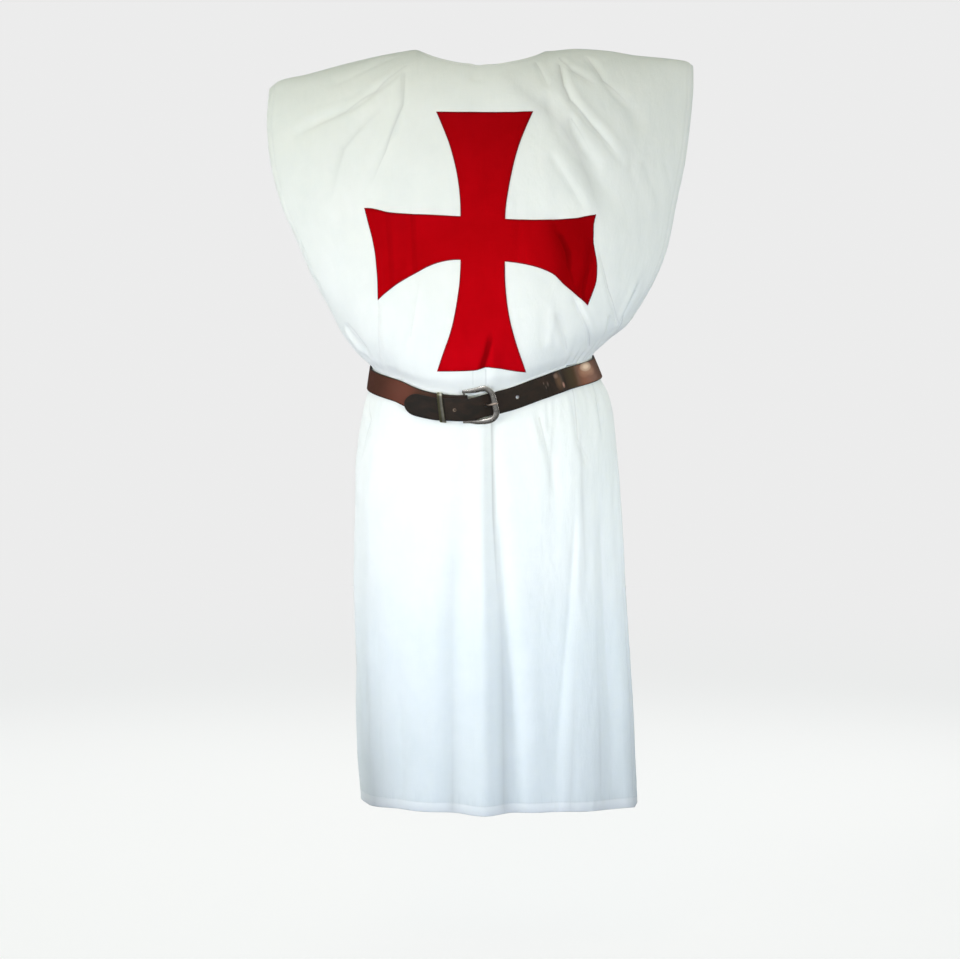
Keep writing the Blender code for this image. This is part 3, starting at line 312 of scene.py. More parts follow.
# gathers held by the belt: across, side shift at the far end (up, down),
# reach up and down, half width at the belt, depth of the valley
FRONT_GATHERS = (
    (-0.332, -0.010, -0.006, 0.050, 0.060, 0.0050, 0.0045),
    (-0.305, -0.012, -0.008, 0.070, 0.085, 0.0050, 0.0050),
    (-0.281, -0.014, -0.010, 0.060, 0.070, 0.0045, 0.0048),
    (-0.256, -0.010, -0.012, 0.085, 0.060, 0.0050, 0.0050),
    (-0.232, -0.012, -0.006, 0.060, 0.095, 0.0045, 0.0046),
    (-0.208, -0.008, -0.010, 0.080, 0.060, 0.0045, 0.0042),
    (-0.186, -0.006, -0.004, 0.055, 0.075, 0.0040, 0.0036),
    (-0.164, -0.006, -0.006, 0.060, 0.050, 0.0040, 0.0032),
    (-0.142, -0.004, -0.004, 0.045, 0.055, 0.0040, 0.0026),
    (-0.118, -0.004, -0.002, 0.040, 0.040, 0.0040, 0.0020),
    (0.104, 0.002, 0.004, 0.045, 0.045, 0.0040, 0.0024),
    (0.126, 0.004, 0.008, 0.050, 0.070, 0.0040, 0.0030),
    (0.149, 0.006, 0.006, 0.065, 0.055, 0.0045, 0.0036),
    (0.171, 0.006, 0.010, 0.055, 0.085, 0.0045, 0.0042),
    (0.195, 0.010, 0.008, 0.075, 0.060, 0.0045, 0.0044),
    (0.219, 0.010, 0.012, 0.060, 0.090, 0.0050, 0.0048),
    (0.243, 0.012, 0.008, 0.085, 0.070, 0.0045, 0.0048),
    (0.268, 0.012, 0.010, 0.060, 0.080, 0.0050, 0.0052),
    (0.294, 0.010, 0.008, 0.075, 0.060, 0.0050, 0.0050),
    (0.320, 0.008, 0.006, 0.055, 0.070, 0.0050, 0.0046),
)
BACK_GATHERS = tuple(
    (-0.330 + 0.0255 * k + 0.004 * math.sin(2.3 * k),
     0.012 * (-0.330 + 0.0255 * k) / 0.33, 0.010 * (-0.330 + 0.0255 * k) / 0.33,
     0.065 + 0.022 * math.sin(1.7 * k + 0.5), 0.075 + 0.026 * math.sin(2.9 * k + 1.0),
     0.0046 + 0.0006 * math.sin(3.7 * k), 0.0042 + 0.0012 * math.sin(1.3 * k + 2.0))
    for k in range(27))

# ================================================================ functions
def smooth(x, xs, ys):
    """Smooth curve through table values, level with them at the ends."""
    xs, ys = np.asarray(xs, float), np.asarray(ys, float)
    if xs[0] > xs[-1]:
        xs, ys = xs[::-1], ys[::-1]
    x = np.clip(np.asarray(x, float), xs[0], xs[-1])
    stride = np.diff(xs)
    slope = np.diff(ys) / stride
    lean = np.zeros(len(xs))
    lean[1:-1] = np.where(slope[:-1] * slope[1:] > 0,
                          2 * slope[:-1] * slope[1:]
                          / np.where(slope[:-1] * slope[1:] > 0, slope[:-1] + slope[1:], 1),
                          0.0)
    lean[0], lean[-1] = slope[0], slope[-1]
    i = np.clip(np.searchsorted(xs, x, side="right") - 1, 0, len(xs) - 2)
    h = stride[i]
    u = (x - xs[i]) / h
    return (ys[i] * (1 + 2 * u) * (1 - u) ** 2 + h * lean[i] * u * (1 - u) ** 2
            + ys[i + 1] * u * u * (3 - 2 * u) + h * lean[i + 1] * u * u * (u - 1))


def column(rows, index):
    return [row[index] for row in rows]


def section(rows, level):
    return {name: smooth(level, column(rows, 0), column(rows, k))
            for k, name in enumerate(SECTION_COLUMNS) if k}


def step(x, start, end):
    u = np.clip((x - start) / (end - start), 0, 1)
    return u * u * (3 - 2 * u)


def belt_height(angle):
    return smooth(np.degrees(angle), column(BELT_LINE, 0), column(BELT_LINE, 1))


def around_angle(rows, angle):
    if rows is FRONT_SECTIONS:
        return angle
    return np.where(angle >= 0, math.pi, -math.pi) - angle


def level_at(rows, z, angle):
    follow = step(z, FOLLOW[0], FOLLOW[1]) * (1 - step(z, FOLLOW[2], FOLLOW[3]))
    return z + (BELT_LEVEL - belt_height(around_angle(rows, angle))) * follow


def shape(rows, z, angle):
    s = section(rows, level_at(rows, z, angle))
    right = angle >= 0
    reach = np.abs(np.where(right, s["right"], s["left"]))
    edge = np.where(right, s["y_right"], s["y_left"])
    turn = np.radians(np.where(right, s["turn_right"], s["turn_left"]))
    half = reach / np.sin(np.minimum(turn, math.pi / 2))
    depth = (edge - s["middle"]) / (1 - np.cos(turn))
    return half, depth, s["middle"], turn


def turned(rows, z, angle):
    half, depth, middle, _ = shape(rows, z, angle)
    return half * np.sin(angle), middle + depth * (1 - np.cos(angle))


def section_angle(rows, z, across):
    share = np.linspace(0, 1, 41)
    away = np.abs(across)
    part = np.clip((away - FLAT_CENTRE) / (HALF_WIDTH - FLAT_CENTRE), 0, 1) ** 1.2
    found = across / HALF_WIDTH * 1.3
    for _ in range(4):
        half, depth, _, turn = shape(rows, z, found)
        angle = turn[..., None] * share
        px = half[..., None] * np.sin(angle)
        py = depth[..., None] * (1 - np.cos(angle))
        run = np.concatenate([np.zeros(px.shape[:-1] + (1,)),
                              np.cumsum(np.hypot(np.diff(px), np.diff(py)), axis=-1)], axis=-1)
        want = away + (run[..., -1] - EDGE_GAP - HALF_WIDTH) * part
        k = np.clip((run < want[..., None]).sum(axis=-1) - 1, 0, len(share) - 2)[..., None]
        low = np.take_along_axis(run, k, -1)[..., 0]
        high = np.take_along_axis(run, k + 1, -1)[..., 0]
        reached = turn * (share[k[..., 0]] + (want - low) / (high - low) * share[1])
        found = np.where(across >= 0, reached, -reached)
    return found


def height(across, down, ridge_z, droop):
    over = down / SHOULDER_RADIUS
    rounded = -SHOULDER_RISE * (1 - np.cos(np.minimum(over, math.pi / 2)))
    straight = -SHOULDER_RISE - (down - SHOULDER_RADIUS * math.pi / 2)
    middle = np.where(over < math.pi / 2, rounded, straight)
    side = np.where(across < 0, smooth(down, column(droop, 0), column(droop, 1)),
                    smooth(down, column(droop, 0), column(droop, 2)))
    hang = side * (np.abs(across) / HALF_WIDTH) ** 2
    blend = np.clip(down / 0.18, 0, 1)
    blend = blend * blend * (3 - 2 * blend)
    return middle + ridge_z * (1 - blend) - hang * blend


def panel_point(rows, across, down):
    """A point on the inside of a worn panel, before its folds."""
    ridge_z = smooth(across, column(RIDGE, 0), column(RIDGE, 1))
    z = height(across, down, ridge_z, FRONT_DROOP if rows is FRONT_SECTIONS else BACK_DROOP)
    angle = section_angle(rows, z, across)
    x, y = turned(rows, z, angle)
    over = np.sin(np.minimum(down / SHOULDER_RADIUS, math.pi / 2))
    front = -1.0 if rows[0][3] < 0 else 1.0
    y = y * over + front * SEAM / 2 * (1 - over)
    return np.stack([x, y, z], axis=-1), angle


def fold_lift(folds, across, down):
    lift = np.zeros_like(across)
    for s0, t0, s1, t1, w0, w1, l0, l1 in folds:
        along = np.array([s1 - s0, t1 - t0])
        length = np.hypot(*along)
        along = along / length
        ds, dt = across - s0, down - t0
        run = (ds * along[0] + dt * along[1]) / length
        off = ds * along[1] - dt * along[0]
        part = np.clip(run, 0, 1)
        wide = w0 + (w1 - w0) * part
        ends = np.clip((run + 0.12) / 0.12, 0, 1) * np.clip((1.15 - run) / 0.15, 0, 1)
        lift += (l0 + (l1 - l0) * part) * np.exp(-(off / wide) ** 2) * ends
    return lift


def table(x, rows):
    return smooth(x, column(rows, 0), column(rows, 1))


def cross_lines(across, down):
    """Left and right side of the upright, ends of the arms, top and foot of the arms."""
    return (table(down, CROSS_LEFT_SIDE), table(down, CROSS_RIGHT_SIDE),
            table(down, CROSS_LEFT_END), table(down, CROSS_RIGHT_END),
            table(across, CROSS_ARM_TOP), table(across, CROSS_ARM_FOOT))


def thread_at_level(sections, across, level):
    down = np.linspace(0.46, 0.76, 61)
    at, angle = panel_point(sections, *np.meshgrid(across, down, indexing="ij"))
    reached = level_at(sections, at[..., 2], angle)
    return np.array([np.interp(-level, -line, down) for line in reached])


def unit(v):
    return v / np.maximum(np.linalg.norm(v, axis=-1, keepdims=True), 1e-12)


def even(count):
    return [k / count for k in range(1, count + 1)]


def fine_to(count):
    """Steps that get finer towards the far anchor."""
    return [1 - (1 - k / count) ** 1.7 for k in range(1, count + 1)]


def fine_from(count):
    return [(k / count) ** 1.7 for k in range(1, count + 1)]


def blocks_of(cuts):
    """Block number and share within it, for each grid line."""
    block, share = [0], [0.0]
    for b, parts in enumerate(cuts):
        for f in parts:
            block.append(b)
            share.append(f)
    return np.array(block), np.array(share)


FRONT_COLUMNS = ([1.0], [1.0], [1.0], even(48), even(21), fine_to(12), even(22), fine_from(12),
                 even(21), even(48), [1.0], [1.0], [1.0])
FRONT_ROWS = ([1.0], [1.0], [1.0], [1.0], even(42), even(38), even(21), even(43), even(7),
              even(8), even(81), [1.0], [1.0], [1.0])
BACK_COLUMNS = ([1.0], [1.0], [1.0], even(34), even(19), even(12), even(16), even(12),
                even(19), even(34), [1.0], [1.0], [1.0])
BACK_ROWS = ([1.0], [1.0], [1.0], [1.0], even(38), even(32), even(14), even(38), even(6),
             even(10), even(98), [1.0], [1.0], [1.0])


def panel_layout(drop, cross, sections):
    """Across and down of every grid crossing.  Lines follow hems, cross and belt."""
    cb, cf = blocks_of(FRONT_COLUMNS if cross else BACK_COLUMNS)
    rb, rf = blocks_of(FRONT_ROWS if cross else BACK_ROWS)
    cols, rows = len(cb), len(rb)
    w = HALF_WIDTH
    side = (0, SIDE_HEM - 0.0016, SIDE_HEM, SIDE_HEM + 0.0016)

    def column_anchors(down):
        left, right, far_left, far_right, _, _ = cross_lines(0.0 * down, down)
        one = np.ones_like(down)
        return np.stack([(-w + d) * one for d in side] + [far_left, -NECK_HALF * one, left,
                        right, NECK_HALF * one, far_right] + [(w - d) * one for d in side[::-1]])

    def row_anchors(across, belt):
        top = drop * np.sqrt(np.clip(1 - (across / NECK_HALF) ** 2, 0, 1))
        one = np.ones_like(across)
        if cross:
            *_, arm_top, arm_foot = cross_lines(across, 0.0 * across + CROSS_MIDDLE)
            middle = [table(across, CROSS_HEAD_LINE), arm_top, arm_foot, table(across, CROSS_FOOT_LINE)]
        else:
            middle = [CROSS_TOP * one, 0.300 * one, 0.350 * one, 0.495 * one]
        neck = [top + d for d in (0, NECK_HEM - 0.0014, NECK_HEM, NECK_HEM + 0.0014)]
        inset = HALF_WIDTH - np.abs(across)
        corner = np.where(across < 0, 0.016, 0.007)
        raised = corner - np.sqrt(np.maximum(corner ** 2 - np.maximum(corner - inset, 0) ** 2, 0))
        hem = [CUT_LENGTH - d - raised for d in (HEM_WIDTH + 0.0018, HEM_WIDTH, HEM_WIDTH - 0.0018, 0)]
        return np.stack(neck + [top + 0.012] + middle + list(belt) + hem)

    down = np.tile(np.linspace(0, CUT_LENGTH, rows)[:, None], (1, cols))
    first = column_anchors(np.full(1, CROSS_BOTTOM + 0.03))[:, 0]
    start = first[cb] + (first[np.minimum(cb + 1, len(first) - 1)] - first[cb]) * cf
    belt = [thread_at_level(sections, start, level)[None, :] * np.ones((rows, 1))
            for level in BELT_ROWS]
    across = np.tile(start, (rows, 1))
    i, j = np.meshgrid(np.arange(rows), np.arange(cols), indexing="ij")
    for _ in range(14):
        anchors = column_anchors(down)
        low = anchors[cb[None, :].repeat(rows, 0), i, j]
        high = anchors[np.minimum(cb + 1, len(anchors) - 1)[None, :].repeat(rows, 0), i, j]
        across = low + (high - low) * cf[None, :]
        anchors = row_anchors(across, belt)
        low = anchors[rb[:, None].repeat(cols, 1), i, j]
        high = anchors[np.minimum(rb + 1, len(anchors) - 1)[:, None].repeat(cols, 1), i, j]
        down = low + (high - low) * rf[:, None]
    return across, down


def crease_lift(creases, across, down):
    """Valleys with a soft ridge on one side, along lines in the cut cloth."""
    lift = np.zeros_like(across)
    for depth, w0, w1, ridge, hand, points in creases:
        p = np.array(points)
        seg = np.hypot(*np.diff(p, axis=0).T)
        run = np.concatenate([[0], np.cumsum(seg)])
        fine = np.linspace(0, run[-1], max(8, int(run[-1] / 0.006)))
        line = np.stack([smooth(fine, run, p[:, 0]), smooth(fine, run, p[:, 1])], 1)
        reach = 0.11
        near = ((across > line[:, 0].min() - reach) & (across < line[:, 0].max() + reach)
                & (down > line[:, 1].min() - reach) & (down < line[:, 1].max() + reach))
        s, t = across[near], down[near]
        best = np.full(s.shape, 9.0)
        off = np.zeros(s.shape)
        part = np.zeros(s.shape)
        for k in range(len(line) - 1):
            a, b = line[k], line[k + 1]
            d = b - a
            n = np.hypot(*d)
            raw = ((s - a[0]) * d[0] + (t - a[1]) * d[1]) / (n * n)
            u = np.clip(raw, 0, 1)
            ds, dt = s - (a[0] + d[0] * u), t - (a[1] + d[1] * u)
            far = np.hypot(ds, dt)
            take = far < best
            best = np.where(take, far, best)
            sign = np.where((s - a[0]) * d[1] - (t - a[1]) * d[0] > 0, -1.0, 1.0)
            off = np.where(take, far * sign, off)
            part = np.where(take, (k + u) / (len(line) - 1), part)
        wide = w0 + (w1 - w0) * part
        taper = step(part, 0.0, 0.16) * (1 - step(part, 0.72, 1.0))
        edge = np.clip(1 - np.maximum(best - 3.5 * wide, 0) / (2 * wide), 0, 1)
        keen = 0.22 * wide
        valley = -depth * np.exp(-(np.sqrt(off ** 2 + keen ** 2) - keen) / (0.85 * wide))
        crest = ridge * np.exp(-((off - hand * 2.0 * wide) / (1.4 * wide)) ** 2)
        lift[near] += (valley + crest) * taper * edge
    return lift


def gather_share(sections, across, level):
    """The front is drawn tight: its gathers are slight, least of all below the belt."""
    if sections is not FRONT_SECTIONS:
        return np.full_like(across, 0.85)
    above = step(level, -0.575, -0.537)
    right = step(across, -0.05, 0.05)
    return ((0.12 + 0.14 * right) * (1 - above) + (0.42 + 0.12 * right) * above)


def gather_lift(gathers, sections, across, level):
    """Wedges of cloth held by the belt, opening out above and below it."""
    lift = np.zeros_like(across)
    calm = gather_share(sections, across, level)
    off = level - BELT_LEVEL                       # above the belt is positive
    for s0, up_shift, low_shift, up, low, wide, deep in gathers:
        above = off > 0
        reach = np.where(above, up, low)
        part = np.abs(off) / reach
        centre = s0 + np.where(above, up_shift, low_shift) * part
        spread_out = wide * (1 + 1.3 * part)
        fade = np.exp(-part ** 2 * 1.6)
        d = (across - centre) / spread_out
        lift += calm * deep * fade * (-np.exp(-d ** 2) + 0.45 * np.exp(-((np.abs(d) - 2.1) / 1.0) ** 2))
    return lift


def value_noise(x, y, seed):
    """Smooth noise from a seeded lattice, between -1 and 1."""
    rng = np.random.default_rng(seed)
    table = rng.uniform(-1, 1, (64, 64))
    xi, yi = np.floor(x).astype(int), np.floor(y).astype(int)
    fx, fy = x - xi, y - yi
    fx, fy = fx * fx * fx * (fx * (fx * 6 - 15) + 10), fy * fy * fy * (fy * (fy * 6 - 15) + 10)
    a = table[xi % 64, yi % 64]
    b = table[(xi + 1) % 64, yi % 64]
    c = table[xi % 64, (yi + 1) % 64]
    d = table[(xi + 1) % 64, (yi + 1) % 64]
    return (a * (1 - fx) + b * fx) * (1 - fy) + (c * (1 - fx) + d * fx) * fy


def crumple(across, down, seed):
    """Light irregular unevenness of worn, once folded cotton."""
    total = np.zeros_like(across)
    for size, lean, amount, k in ((0.075, 0.3, 0.0016, 0), (0.040, -0.5, 0.0009, 1),
                                  (0.021, 0.9, 0.0005, 2), (0.012, -0.2, 0.00022, 3)):
        u = (across + lean * down * 0.3) / size + 7.3 * k + 40
        v = (down - lean * across * 0.3) / (size * 1.8) + 3.1 * k + 40
        total += amount * value_noise(u, v, seed + k)
    return total


# ---------------------------------------------------------------- belt frame
def wrap(angle):
    return (angle + math.pi) % (2 * math.pi) - math.pi


def ring_point(angle, z):
    angle = wrap(angle)
    front = np.abs(angle) <= math.pi / 2
    inner = np.where(front, angle, np.where(angle >= 0, math.pi, -math.pi) - angle)
    fx, fy = turned(FRONT_SECTIONS, z, np.where(front, inner, 0.0))
    bx, by = turned(BACK_SECTIONS, z, np.where(front, 0.0, inner))
    return np.stack([np.where(front, fx, bx), np.where(front, fy, by), z], axis=-1)


def belt_lengths():
    angle = np.radians(np.linspace(-260, 260, 1041))
    at = ring_point(angle, belt_height(wrap(angle)))
    run = np.concatenate([[0], np.cumsum(np.linalg.norm(np.diff(at, axis=0), axis=1))])
    return angle, run - np.interp(0.0, angle, run)


BELT_ANGLES, BELT_RUN = belt_lengths()
AROUND = float(np.interp(math.pi, BELT_ANGLES, BELT_RUN) - np.interp(-math.pi, BELT_ANGLES, BELT_RUN))


def belt_point(along, up, out):
    """Belt coordinates to space: along from the front centre, up and outwards."""
    along, up, out = np.broadcast_arrays(np.asarray(along, float), np.asarray(up, float),
                                         np.asarray(out, float))

    def line(run):
        angle = np.interp(run, BELT_RUN, BELT_ANGLES)
        z = belt_height(wrap(angle))
        return ring_point(angle, z), angle, z
    at, angle, z = line(along)
    ahead, behind = line(along + 0.006)[0], line(along - 0.006)[0]
    forward = unit(ahead - behind)
    rise = ring_point(angle, z + 0.0150) - ring_point(angle, z - 0.0150)
    normal = unit(np.cross(forward, rise))
    upward = np.cross(normal, forward)
    return at + upward * up[..., None] + normal * out[..., None]


# ================================================================ mesh helpers
def grid_faces(rows, cols, start=0, flip=False, closed=False):
    i, j = np.meshgrid(np.arange(rows - 1), np.arange(cols if closed else cols - 1), indexing="ij")
    k = (j + 1) % cols
    quad = np.stack([i * cols + j, i * cols + k, (i + 1) * cols + k, (i + 1) * cols + j], -1)
    quad = quad.reshape(-1, 4) + start
    return quad[:, ::-1] if flip else quad


def make_mesh(name, verts, faces, uv=None, smooth_angle=None):
    mesh = bpy.data.meshes.new(name)
    mesh.from_pydata(np.asarray(verts, float).tolist(), [],
                     [list(map(int, f)) for f in faces])
    if uv is not None:
        layer = mesh.uv_layers.new(name="UVMap")
        index = np.zeros(len(mesh.loops), np.int32)
        mesh.loops.foreach_get("vertex_index", index)
        layer.data.foreach_set("uv", np.asarray(uv, np.float32)[index].ravel())
    mesh.validate()
    mesh.shade_smooth()
    if smooth_angle is not None:
        mesh.set_sharp_from_angle(angle=math.radians(smooth_angle))
    obj = bpy.data.objects.new(name, mesh)
    bpy.context.scene.collection.objects.link(obj)
    return obj


def grid_normals(points):
    du = np.gradient(points, axis=1)
    dv = np.gradient(points, axis=0)
    return unit(np.cross(du, dv))


# ================================================================ the panels
def panel_surface(back):
    """Outer surface, outward normals and cut coordinates of a panel."""
    sections = BACK_SECTIONS if back else FRONT_SECTIONS
    drop = NECK_DROP_BACK if back else NECK_DROP_FRONT
    across, down = panel_layout(drop, not back, sections)
    at, angle = panel_point(sections, across, down)
    eps = 0.002
    ends = (np.clip(across + eps, -HALF_WIDTH, HALF_WIDTH), np.clip(across - eps, -HALF_WIDTH, HALF_WIDTH))
    side = panel_point(sections, ends[0], down)[0] - panel_point(sections, ends[1], down)[0]
    fall = panel_point(sections, across, down + eps)[0] - panel_point(sections, across, np.maximum(down - eps, 0))[0]
    normal = unit(np.cross(fall, side))
    if back:
        normal = -normal
    level = level_at(sections, at[..., 2], angle)
    held = step(level, -0.5765 - 0.010, -0.5765) * (1 - step(level, -0.5355, -0.5355 + 0.010))
    lift = fold_lift(BACK_FOLDS if back else FRONT_FOLDS, across, down)
    near_belt = np.exp(-((at[..., 2] - belt_height(around_angle(sections, angle))) / PLEAT_REACH) ** 2)
    zone = np.clip((np.abs(across) - 0.095) / 0.05, 0, 1)
    lift += -0.5 * PLEAT_DEPTH * gather_share(sections, across, level) * near_belt * zone * (0.5 - 0.5 * np.cos(2 * math.pi * (np.abs(across) - 0.104) / 0.0463))
    fine = crease_lift(BACK_CREASES if back else FRONT_CREASES, across, down)
    fine += gather_lift(BACK_GATHERS if back else FRONT_GATHERS, sections, across, level)
    ease = step(down, 0.0, 0.05) if not back else step(down, 0.0, 0.04)
    fine += crumple(across, down, 71 if back else 11) * (0.35 + 0.65 * ease)
    edge = step(HALF_WIDTH - np.abs(across), 0.0, 0.02)
    fine *= 0.55 + 0.45 * edge
    # at the shoulder seam both panels meet
    fine *= np.where(np.abs(across) >= NECK_HALF - 0.002, step(down, 0.0, 0.030), 1.0)
    # sewing draws the hems into small puckers
    hem = CUT_LENGTH - down
    ruck = value_noise(across / 0.0115 + 30, down / 0.05 + 9, 91) * np.exp(-((hem - 0.010) / 0.013) ** 2)
    ruck += 0.6 * value_noise(down / 0.013 + 12, across / 0.06 + 20, 92) \
        * np.exp(-((HALF_WIDTH - np.abs(across) - 0.006) / 0.009) ** 2)
    fine += 0.00085 * ruck
    # the strap presses the cloth flat: only inwards there
    pressed = np.minimum(fine, 0) * 0.45 + 0.0003
    lift = lift + fine * (1 - held) + pressed * held
    # stitch grooves
    stitch = np.zeros_like(lift)
    for d in (np.abs(HALF_WIDTH - np.abs(across) - SIDE_HEM), np.abs(CUT_LENGTH - down - HEM_WIDTH)):
        stitch = np.maximum(stitch, np.clip(1 - d / 0.0012, 0, 1))
    top = drop * np.sqrt(np.clip(1 - (across / NECK_HALF) ** 2, 0, 1))
    inside_neck = np.abs(across) < NECK_HALF
    stitch = np.maximum(stitch, np.where(inside_neck, np.clip(1 - np.abs(down - top - NECK_HEM) / 0.0011, 0, 1), 0))
    lift -= 0.00040 * stitch
    outer = at + normal * (lift[..., None] + CLOTH)
    face = grid_normals(outer)
    face = -face if ((face * normal).sum(-1).mean() < 0) else face
    return {"outer": outer, "normal": face, "across": across, "down": down, "level": level,
            "top": top}


def sheet_piece(name, outer, inner, flip, uv):
    """A closed sheet: an outer and an inner face joined by a rounded edge."""
    rows, cols = outer.shape[:2]
    count = rows * cols
    ring = [(0, j) for j in range(cols)] + [(i, cols - 1) for i in range(1, rows)] \
        + [(rows - 1, j) for j in range(cols - 2, -1, -1)] + [(i, 0) for i in range(rows - 2, 0, -1)]
    ri, rj = np.array(ring).T
    mid = (outer[ri, rj] + inner[ri, rj]) / 2
    thick = np.linalg.norm(outer[ri, rj] - inner[ri, rj], axis=-1, keepdims=True)
    inward_i, inward_j = np.clip(ri, 1, rows - 2), np.clip(rj, 1, cols - 2)
    out = unit(outer[ri, rj] - outer[inward_i, inward_j])
    mid = mid + out * thick * 0.45
    verts = np.concatenate([outer.reshape(-1, 3), inner.reshape(-1, 3), mid])
    uvs = np.concatenate([uv.reshape(-1, 2), uv.reshape(-1, 2), uv[ri, rj]])
    faces = [grid_faces(rows, cols, 0, flip), grid_faces(rows, cols, count, not flip)]
    a = ri * cols + rj
    n = len(ring)
    m = 2 * count + np.arange(n)
    nxt = (np.arange(n) + 1) % n
    rim1 = np.stack([a, m, m[nxt], a[nxt]], -1)
    rim2 = np.stack([m, a + count, a[nxt] + count, m[nxt]], -1)
    if flip:
        rim1, rim2 = rim1[:, ::-1], rim2[:, ::-1]
    faces += [rim1, rim2]
    return make_mesh(name, verts, np.concatenate(faces), uvs)


def build_panel(name, s):
    outer, normal = s["outer"], s["normal"]
    across, down, top = s["across"], s["down"], s["top"]
    # the turned-in hem is three layers thick, with a soft inner edge
    band = np.maximum(1 - step(HALF_WIDTH - np.abs(across), SIDE_HEM + 0.0008, SIDE_HEM + 0.004),
                      1 - step(CUT_LENGTH - down, HEM_WIDTH + 0.001, HEM_WIDTH + 0.006))
    neck = np.where(np.abs(across) < NECK_HALF, 1 - step(down - top, NECK_HEM, NECK_HEM + 0.004), 0)
    band = np.maximum(band, neck)
    thick = SHEET + (HEM - SHEET) * band
    inner = outer - normal * thick[..., None]
    uv = np.stack([across, down], -1)
    flip = bool(np.dot(np.cross(outer[100, 81] - outer[100, 80], outer[101, 80] - outer[100, 80]), normal[100, 80]) < 0)
    return sheet_piece(name, outer, inner, flip, uv)


front = panel_surface(False)
rear = panel_surface(True)
front_cloth = build_panel("front_cloth", front)
back_cloth = build_panel("back_cloth", rear)


# ================================================================ the cross
def anchor_lines(cuts):
    return [0] + list(np.cumsum([len(c) for c in cuts]))


COLS, ROWS = anchor_lines(FRONT_COLUMNS), anchor_lines(FRONT_ROWS)
BACK_COLS = anchor_lines(BACK_COLUMNS)
FAR_LEFT, NECK_LEFT, UP_LEFT, UP_RIGHT, NECK_RIGHT, FAR_RIGHT = COLS[4:10]
TOP_ROW, ARM_TOP, ARM_FOOT, FOOT_ROW = ROWS[5:9]
CROSS_SHEET = 0.0006


def build_cross(s):
    """The panel's own cells, moved out: a closed sheet with a rounded edge."""
    rows, cols = s["outer"].shape[:2]
    cell = np.zeros((rows - 1, cols - 1), bool)
    cell[TOP_ROW:FOOT_ROW, UP_LEFT:UP_RIGHT] = True
    cell[ARM_TOP:ARM_FOOT, FAR_LEFT:FAR_RIGHT] = True
    used = np.zeros((rows, cols), bool)
    inner = np.ones((rows, cols), bool)
    for di in (0, 1):
        for dj in (0, 1):
            used[di:rows - 1 + di, dj:cols - 1 + dj] |= cell
            whole = np.zeros((rows, cols), bool)
            whole[di:rows - 1 + di, dj:cols - 1 + dj] = cell
            inner &= whole
    rim = used & ~inner
    index = -np.ones((rows, cols), int)
    index[used] = np.arange(used.sum())
    count = int(used.sum())
    at, normal = s["outer"][used], s["normal"][used]
    high = np.where(rim[used], CROSS_SHEET * 0.62, CROSS_SHEET)[:, None]
    verts = np.concatenate([at + normal * (0.0003 + high), at + normal * 0.0003])
    uv = np.stack([s["across"][used], s["down"][used]], -1)
    ci, cj = np.nonzero(cell)
    quad = np.stack([index[ci, cj], index[ci, cj + 1], index[ci + 1, cj + 1], index[ci + 1, cj]], -1)
    a, b, c = verts[quad[0, 0]], verts[quad[0, 1]], verts[quad[0, 3]]
    flip = np.dot(np.cross(b - a, c - a), s["normal"][ci[0], cj[0]]) < 0
    if flip:
        quad = quad[:, ::-1]
    faces = [quad, quad[:, ::-1] + count]
    edges = {}
    for face in quad:
        for k in range(4):
            edges[(face[k], face[(k + 1) % 4])] = True
    sides = [(p, q) for p, q in edges if (q, p) not in edges]
    faces.append(np.array([(q, p, p + count, q + count) for p, q in sides]))
    x, y = s["across"], s["down"]
    d1x, d1y = x[1:, 1:] - x[:-1, :-1], y[1:, 1:] - y[:-1, :-1]
    d2x, d2y = x[1:, :-1] - x[:-1, 1:], y[1:, :-1] - y[:-1, 1:]
    area = float((np.abs(d1x * d2y - d1y * d2x) / 2)[cell].sum())
    size = (float(np.ptp(x[used])), float(np.ptp(y[used])))
    return make_mesh("cross_applique_cloth", verts, np.concatenate(faces),
                     np.concatenate([uv, uv])), size, area


def side_line(s, fixed, toward, start, stop, along_rows, inset, lift):
    """Points and normals just inside one grid line of a panel."""
    k = np.arange(start, stop + 1) if stop > start else np.arange(start, stop - 1, -1)
    at, normal = s["outer"], s["normal"]
    near = (k, np.full_like(k, fixed)) if along_rows else (np.full_like(k, fixed), k)
    far = (k, np.full_like(k, toward)) if along_rows else (np.full_like(k, toward), k)
    gap = at[far] - at[near]
    f = inset / np.maximum(np.linalg.norm(gap, axis=-1, keepdims=True), 1e-6)
    n = unit(normal[near] * (1 - f) + normal[far] * f)
    return at[near] + gap * f + n * lift, n


